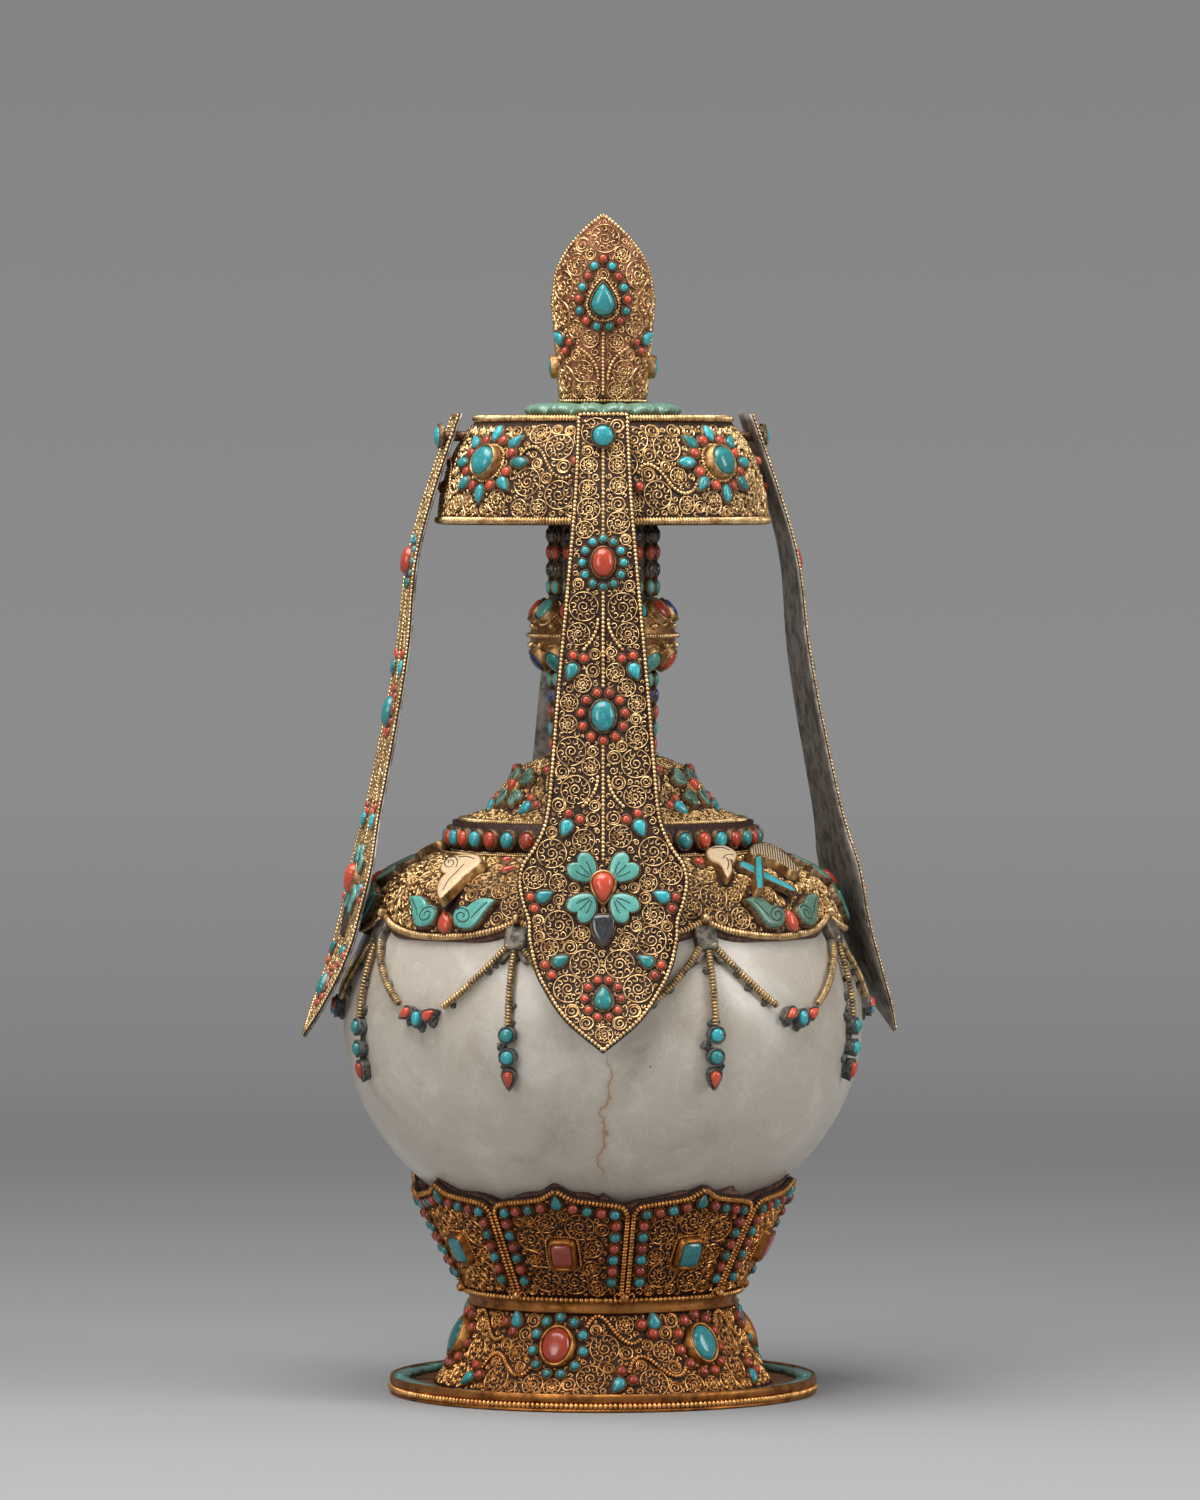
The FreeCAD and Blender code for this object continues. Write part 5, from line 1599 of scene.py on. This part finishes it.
def finial_stones(stones):
    v = finial.level(finial_level + 31.0)
    stones.set(finial, 0, v, "turquoise", drop_outline(6.9, 9.6, 24), rise=2.8, wall=0.5, setting=1.6)
    ring = even(drop_outline(14.6, 20.4, 48) + (0, 2.0), 0.1, closed=True)
    top = int(ring[:, 1].argmax())
    for k in range(15):
        x, y = ring[(top + k * len(ring) // 15) % len(ring)]
        a, up = finial.local(0, v, [(x, y)])
        kind = "coral" if min(k, 15 - k) % 2 == 0 else "turquoise"
        round_stone(stones, finial, float(a[0]), float(up[0]), kind, 2.4)
    for way in (-1, 1):
        corals = [(way * 42.0, finial.level(315.2)), (way * 50.0, finial.level(312.6))]
        triad(stones, finial, corals, (way * 60.0, finial.level(316.6)), -way * 50, 2.3)
        stones.set(finial, way * 87.0, finial.level(308.0), "turquoise", oval_outline(4.4, 5.6), rise=1.6,
                   wall=0.5, setting=2.0)


def make_finial():
    side = finial.level(finial_side)
    half_beads, half_sheet, half_stones = Heap(), Heap(), Stones()
    rows = []
    for z in np.append(np.linspace(finial_side, 346, 16), np.linspace(347.5, finial_tip - 0.05, 7)):
        half = leaf_azimuth(z)[0]
        rows.append(np.stack([np.linspace(-half, half, 17), np.full(17, finial.level(z))], axis=1))
    shell(half_sheet, finial, rows, (-1.1, 0.0))
    finial_stones(half_stones)
    edge = leaf_path()
    bead_line(half_beads, finial, edge, radius=0.7, pitch=1.15, lift=-0.1)
    v = finial.level(finial_level + 31.0)
    bead_loop(half_beads, finial, 0, v, drop_outline(9.6, 12.8, 28), 0.48, 0.95)
    lines = [placed(finial, 0, [(0, 299.2), (0, 318.4)])]
    for way in (-1, 1):
        line = [(way * x, finial.level(z)) for x, z in finial_branch]
        lines.append(smoothed([(x / float(finial.scale(v)), v) for x, v in line], 4))
    for line in lines:
        bead_line(half_beads, finial, line, radius=0.55, pitch=1.05)
    stem_part = Heap()
    band(stem_part, finial, 0.0, side, (-1.1, 0.0), 8, 96)
    gilt("finial_tube", stem_part, "canopy", "rosy_sheet", ["finial"])

    def room_at(a, v):
        room = np.minimum(v - 1.2, segment_room(finial, a, v, edge, 0.7))
        half = np.interp(v, [finial.level(z) for z in np.linspace(finial_side, finial_tip, 60)],
                         leaf_azimuth(np.linspace(finial_side, finial_tip, 60)))
        room[(v > side) & (np.abs(a) > half)] = -1
        room = np.minimum(room, (89.0 - np.abs(a)) * finial.scale(v))
        room = np.minimum(room, lines_room(finial, a, v, lines, 0.6))
        return np.minimum(room, circle_room(finial, a, v, half_stones.circles))
    wires = filigree(finial, (-90, 90), (0, finial.length), room_at, 71)
    for name, azimuth in (("front", 0.0), ("back", 180.0)):
        gilt("finial_%s_leaf" % name, half_sheet.spun(azimuth), "canopy", "rosy_sheet")
        gilt("finial_%s_beads" % name, half_beads.spun(azimuth), "canopy", "beads")
        gilt("finial_%s_wires" % name, wires.spun(azimuth), "canopy", "wire")
        put_stones("finial_" + name, half_stones, "canopy", {"turquoise": ["finial_drops"]}, azimuth)
    ring = Heap()
    bead_ring(ring, finial, 0.9, 0.5, 1.0)
    gilt("finial_ring", ring, "canopy", "beads")


# Lappets

lappet_azimuths = {"front": 0.0, "right": 102.0, "back": 185.0, "left": -82.0}
lappet_start = 43.83
lappet_half_thickness = 0.6
lappet_face = 0.35
lappet_curve = ((0, 0), (8.7, 25.5), (13.8, 45.3), (16.5, 71.4), (22.2, 103.2), (31.6, 147.5), (37.2, 166.0),
                (46.5, 186.6))
lappet_outline = (
    (7.8, 0), (9.0, 25.7), (11.5, 55.0), (14.1, 84.3), (15.8, 105.6), (17.3, 119.0), (20.6, 127.0),
    (24.0, 132.0), (25.2, 137.5), (24.0, 144.0), (22.4, 149.0), (22.2, 154.0), (20.4, 162.0),
    (17.5, 168.3), (11.0, 177.6), (0.0, 186.6),
)
lappet_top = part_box("lappet_front_plate")[1].z / MM
pin_level = (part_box("lappet_front_pin")[0].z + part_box("lappet_front_pin")[1].z) / 2 / MM
pin_front = -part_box("lappet_front_pin")[0].y / MM

lappet_line = [(lappet_start + out, lappet_top - fall) for out, fall in lappet_curve[::-1]]
lappet = Surface(smoothed(lappet_line, 12), False)


def fallen(points):
    """(a, v) on the lappet of (offset, fall below its top) points."""
    return [(x, lappet.level(lappet_top - fall)) for x, fall in points]


def half_width(v):
    line = np.array(fallen(smoothed(lappet_outline, 6)))[::-1]
    return np.interp(v, line[:, 1], line[:, 0])


def lappet_edge(distance=0.0):
    """Outline of the lappet, anticlockwise from its tip."""
    side = np.array(fallen(smoothed(lappet_outline, 6)))[::-1]
    corner = 1.6
    top = side[-1, 1]
    side = side[side[:, 1] < top - corner]
    half = side[-1, 0]
    bend = [(half - corner * (1 - math.cos(turn)), top - corner * (1 - math.sin(turn)))
            for turn in (0.0, 0.5, 1.0, TAU / 4)]
    right = np.vstack([side, bend])
    left = right[::-1][:-1] * (-1, 1)
    return inset(np.vstack([right, left]), distance)


def lappet_rows():
    v = np.linspace(0.15, lappet.length - 0.1, 90)
    half = half_width(v)
    share = np.linspace(-1, 1, 9)
    return np.stack([half[:, None] * share, np.repeat(v[:, None], 9, axis=1)], axis=-1)


lappet_triads = (
    ((5.6, 72.4), (8.8, 71.6), (9.3, 76.2), 22),
    ((6.8, 119.4), (10.1, 117.6), (10.9, 121.9), 22),
    ((21.3, 141.9), (20.1, 145.2), (17.1, 141.6), -115),
    ((16.9, 161.6), (15.0, 164.5), (12.4, 160.3), -120),
)
lappet_mid_lines = ((10.5, 36.5), (52.6, 81.6), (97.6, 131.5))
lappet_branches = (
    ((1.5, 60.5), (1.8, 63.5), (3.2, 66.5), (6.0, 70.2)),
    ((1.5, 106.5), (1.9, 109.6), (3.6, 113.0), (6.9, 116.6)),
)


def lappet_stones():
    stones = Stones()

    def at(x, fall):
        return fallen([(x, fall)])[0]
    a, v = at(0, 44.3)
    stones.set(lappet, a, v, "coral", oval_outline(6.4, 8.6), rise=3.0, wall=0.5, setting=1.2)
    stones.ring(lappet, a, v, "turquoise", 12.2, 14.2, 12, 2.3)
    a, v = at(0, 89.3)
    stones.set(lappet, a, v, "turquoise", oval_outline(7.0, 9.2), rise=2.8, wall=0.5, setting=1.2)
    stones.ring(lappet, a, v, "coral", 13.0, 14.4, 11, 2.4, start=0.5)
    a, v = at(0, 139.3)
    flower(stones, lappet, a, v, "green", (8.6, 8.4), 5.5)
    stones.set(lappet, a, v, "coral", drop_outline(6.3, 8.8), rise=3.4, wall=0.7, setting=2.2, angle=180)
    bud = ((0, -0.5), (0.22, -0.32), (0.42, -0.02), (0.46, 0.3), (0.28, 0.44), (0, 0.46))
    a, v = at(0, 151.6)
    seat = stones.set(lappet, a, v, "onyx", mirrored_outline(bud, 7.0, 10.0), rise=1.5, wall=0.35,
                      setting=1.1, rings=flat_rings)
    for way in (-1, 1):
        stones.cut(seat, [(way * 2.3, 2.6), (way * 1.5, 0.6), (way * 0.3, -3.0)], 1.5)
        stones.cut(seat, [(way * 0.3, 3.0), (way * 1.1, 2.2), (way * 0.2, 0.6)], 1.5)
    a, v = at(0, 171.2)
    stones.set(lappet, a, v, "turquoise", drop_outline(5.4, 7.4), rise=2.4, wall=0.5, setting=1.1)
    stones.ring(lappet, a, v, "coral", 10.6, 12.0, 10, 2.2, start=0.5)
    for first, second, drop, angle in lappet_triads:
        for way in (-1, 1):
            for x, fall in (first, second):
                a, v = at(way * x, fall)
                stones.set(lappet, a, v, "coral", oval_outline(2.4, 2.4, 12), rise=1.3, wall=0.35)
            a, v = at(way * drop[0], drop[1])
            stones.set(lappet, a, v, "turquoise", drop_outline(3.7, 5.2), rise=1.6, wall=0.35,
                       angle=180 + way * angle)
    return stones


def make_lappets():
    stones = lappet_stones()
    edge = lappet_edge(0.8)
    mid_lines = [fallen([(0, top), (0, bottom)]) for top, bottom in lappet_mid_lines]
    for branch in lappet_branches:
        for way in (-1, 1):
            mid_lines.append(fallen(smoothed([(way * x, fall) for x, fall in branch], 5)))
    beads = Heap()
    bead_line(beads, lappet, edge, closed=True, lift=lappet_face + 0.2)
    for line in mid_lines:
        bead_line(beads, lappet, line, lift=lappet_face + 0.2)

    def room_at(a, v):
        room = segment_room(lappet, a, v, edge, bead_radius + 0.1, closed=True)
        room[np.abs(a) > half_width(v) - 0.8] = -1
        for line in mid_lines:
            room = np.minimum(room, segment_room(lappet, a, v, line, bead_radius))
        return np.minimum(room, circle_room(lappet, a, v, stones.circles))
    wires = filigree(lappet, (-26, 26), (0, lappet.length), room_at, 11)
    wires.points = [part - (0, lappet_face, 0) for part in wires.points]
    sheet, back = Heap(), Heap()
    shell(sheet, lappet, lappet_rows(), (0.0, lappet_face))
    shell(back, lappet, lappet_rows(), (-lappet_half_thickness, 0.0))
    pin_place = (np.array([0.0, -pin_front, pin_level]), np.array([1.0, 0, 0]), np.array([0, 0, 1.0]),
                 np.array([0, -1.0, 0]))
    pin_stone = Heap()
    raised(pin_stone, pin_place, oval_outline(6.2, 6.2), 2.2)
    pin_ring = Heap()
    rim_ring(pin_ring, pin_place, oval_outline(6.2, 6.2), 0.5, 1.0)
    for name, azimuth in lappet_azimuths.items():
        body = "lappet_" + name
        gilt(body + "_sheet", sheet.spun(azimuth), body, "sheet", [body + "_plate"])
        gilt(body + "_back", back.spun(azimuth), body, "back")
        gilt(body + "_wires", wires.spun(azimuth), body, "wire")
        gilt(body + "_beads", beads.spun(azimuth), body, "beads")
        gilt(body + "_pin_ring", pin_ring.spun(azimuth), body, "setting")
        put(body + "_pin_stone", pin_stone.spun(azimuth), body, "turquoise", materials["turquoise"])
        put_stones(body, stones, body, {kind: [f"{body}_{kind}"] for kind in ("coral", "turquoise")}, azimuth)


for make in (make_flange, make_foot, make_waist, make_bedding, make_petals, make_crystal, make_swags,
             make_shoulder, make_collar, make_neck, make_bulb, make_stem, make_crown, make_lotus, make_finial,
             make_lappets):
    make()


def dress(node, material):
    """Gives a CAD node that stays its material."""
    for place in nodes[node].material_slots:
        place.material = materials[material]


dress("stopper_plug", "band")
dress("crown_top", "band")
for name in lappet_azimuths:
    dress("lappet_%s_pin" % name, "setting")

# Camera, floor and light

eye_side = -0.9
eye_target = 193
seen_half_height = 225
sensor_height = 36.0
floor_reach = 1600
floor_rows = 32
floor_columns = 96
# Painted light falloff: the floor is coloured lighter in front of the vase and darker behind it.
floor_falloff_tones = ((0.16, 0.335), (0.27, 0.324), (0.384, 0.295), (0.534, 0.252), (0.709, 0.232), (0.9, 0.225))
floor_fade = ((0.36, 0.0), (0.9, 1.0))
sky_tones = ((0.3, 0.2), (0.42, 0.265), (0.8, 0.2))
sky_slope = 2.5
sky_middle = 0.5
sky_light = (0.29, 0.295, 0.305, 1)
lamps = (
    ("top", (-0.25, -0.35, 1.5), 0.15, (1.3, 1.1), 29),
    ("front_left", (-1.4, -1.9, 0.9), 0.18, (0.9, 1.2), 18),
    ("right", (1.5, -0.6, 0.8), 0.18, (0.5, 1.0), 12),
)


def make_camera(scene):
    camera = bpy.data.objects.new("camera", bpy.data.cameras.new("camera"))
    scene.collection.objects.link(camera)
    camera.location = (eye_side * MM, -eye_distance * MM, eye_level * MM)
    fall = math.atan((eye_level - eye_target) / eye_distance)
    camera.rotation_euler = (math.radians(90) - fall, 0, 0)
    camera.data.sensor_fit = "VERTICAL"
    camera.data.sensor_height = sensor_height
    camera.data.lens = sensor_height / 2 * eye_distance / seen_half_height
    scene.camera = camera


def make_floor(scene):
    floor = Heap()
    k = np.arange(floor_columns)
    turns = k * TAU / floor_columns
    radii = np.linspace(0, floor_reach, floor_rows + 1)[1:]
    points = [(r * math.cos(t), r * math.sin(t), 0.0) for r in radii for t in turns]
    cap = np.stack([np.full(floor_columns, len(points)), k, (k + 1) % floor_columns], axis=1)
    rings = grid_faces(floor_rows, floor_columns, closed_columns=True)
    floor.add(np.array(points + [(0, 0, 0)]), [rings, cap])
    mesh = bpy.data.meshes.new("floor")
    faces = [face for part in floor.faces for face in part.tolist()]
    mesh.from_pydata((floor.points[0] * MM).tolist(), [], faces)
    surface = bpy.data.objects.new("floor", mesh)
    scene.collection.objects.link(surface)
    g = Graph("floor_paper_with_painted_falloff")
    axes = g.node("SeparateXYZ", in_Vector=g.where).outputs
    # Painted light falloff: the floor's colour ramps from light at the front to darker at the back.
    depth = g.maths("ADD", g.maths("MULTIPLY", axes["Y"], 0.8), 0.4)
    g.finish(g.ramp(depth, floor_falloff_tones, False), 0.9, Specular_IOR_Level=0.1)
    reach = g.node("VectorMath", operation="LENGTH")
    g.feed(reach.inputs[0], g.node("CombineXYZ", in_X=axes["X"], in_Y=axes["Y"]).outputs[0])
    fade = g.ramp(g.maths("MULTIPLY", reach.outputs["Value"], 0.6), floor_fade)
    blend = g.node("MixShader")
    for place, socket in enumerate((fade, g.shader.outputs[0], g.node("BsdfTransparent").outputs[0])):
        g.feed(blend.inputs[place], socket)
    g.feed(g.tree.nodes["Material Output"].inputs["Surface"], blend.outputs[0])
    mesh.materials.append(g.material)


def make_world(scene):
    """Grey light from all sides, and a softly graded wall where the camera or a reflection looks."""
    world = bpy.data.worlds.new("studio")
    scene.world = world
    world.use_nodes = True
    tree = world.node_tree
    tree.nodes.clear()

    def node(kind, *sources, **settings):
        made = tree.nodes.new("ShaderNode" + kind)
        for key, value in settings.items():
            setattr(made, key, value)
        for place, source in enumerate(sources):
            tree.links.new(source, made.inputs[place])
        return made
    height = node("SeparateXYZ", node("TexCoord").outputs["Generated"]).outputs["Z"]
    scale = node("Math", height, operation="MULTIPLY_ADD")
    scale.inputs[1].default_value = sky_slope
    scale.inputs[2].default_value = sky_middle
    ramp = node("ValToRGB", scale.outputs[0])
    ramp.color_ramp.elements.new(sky_tones[-1][0])
    for element, (place, tone) in zip(ramp.color_ramp.elements, sky_tones):
        element.position = place
        element.color = (tone, tone, tone, 1)
    light = node("Background")
    light.inputs[0].default_value = sky_light
    rays = node("LightPath").outputs
    mirrored = node("Math", rays["Is Glossy Ray"], rays["Is Transmission Ray"], operation="MAXIMUM")
    looking = node("Math", rays["Is Camera Ray"], mirrored.outputs[0], operation="MAXIMUM")
    seen = node("Background", ramp.outputs[0])
    mix = node("MixShader", looking.outputs[0], light.outputs[0], seen.outputs[0])
    node("OutputWorld", mix.outputs[0])


def make_lamps(scene):
    for name, place, target_level, size, power in lamps:
        data = bpy.data.lights.new(name, "AREA")
        data.shape = "RECTANGLE"
        data.size, data.size_y = size
        data.energy = power
        lamp = bpy.data.objects.new(name, data)
        lamp.location = place
        aim = Vector((0, 0, target_level)) - Vector(place)
        lamp.rotation_euler = aim.to_track_quat("-Z", "Y").to_euler()
        scene.collection.objects.link(lamp)


def make_stage():
    scene = bpy.context.scene
    scene.view_settings.view_transform = "Standard"
    for make_part in (make_camera, make_floor, make_world, make_lamps):
        make_part(scene)


make_stage()
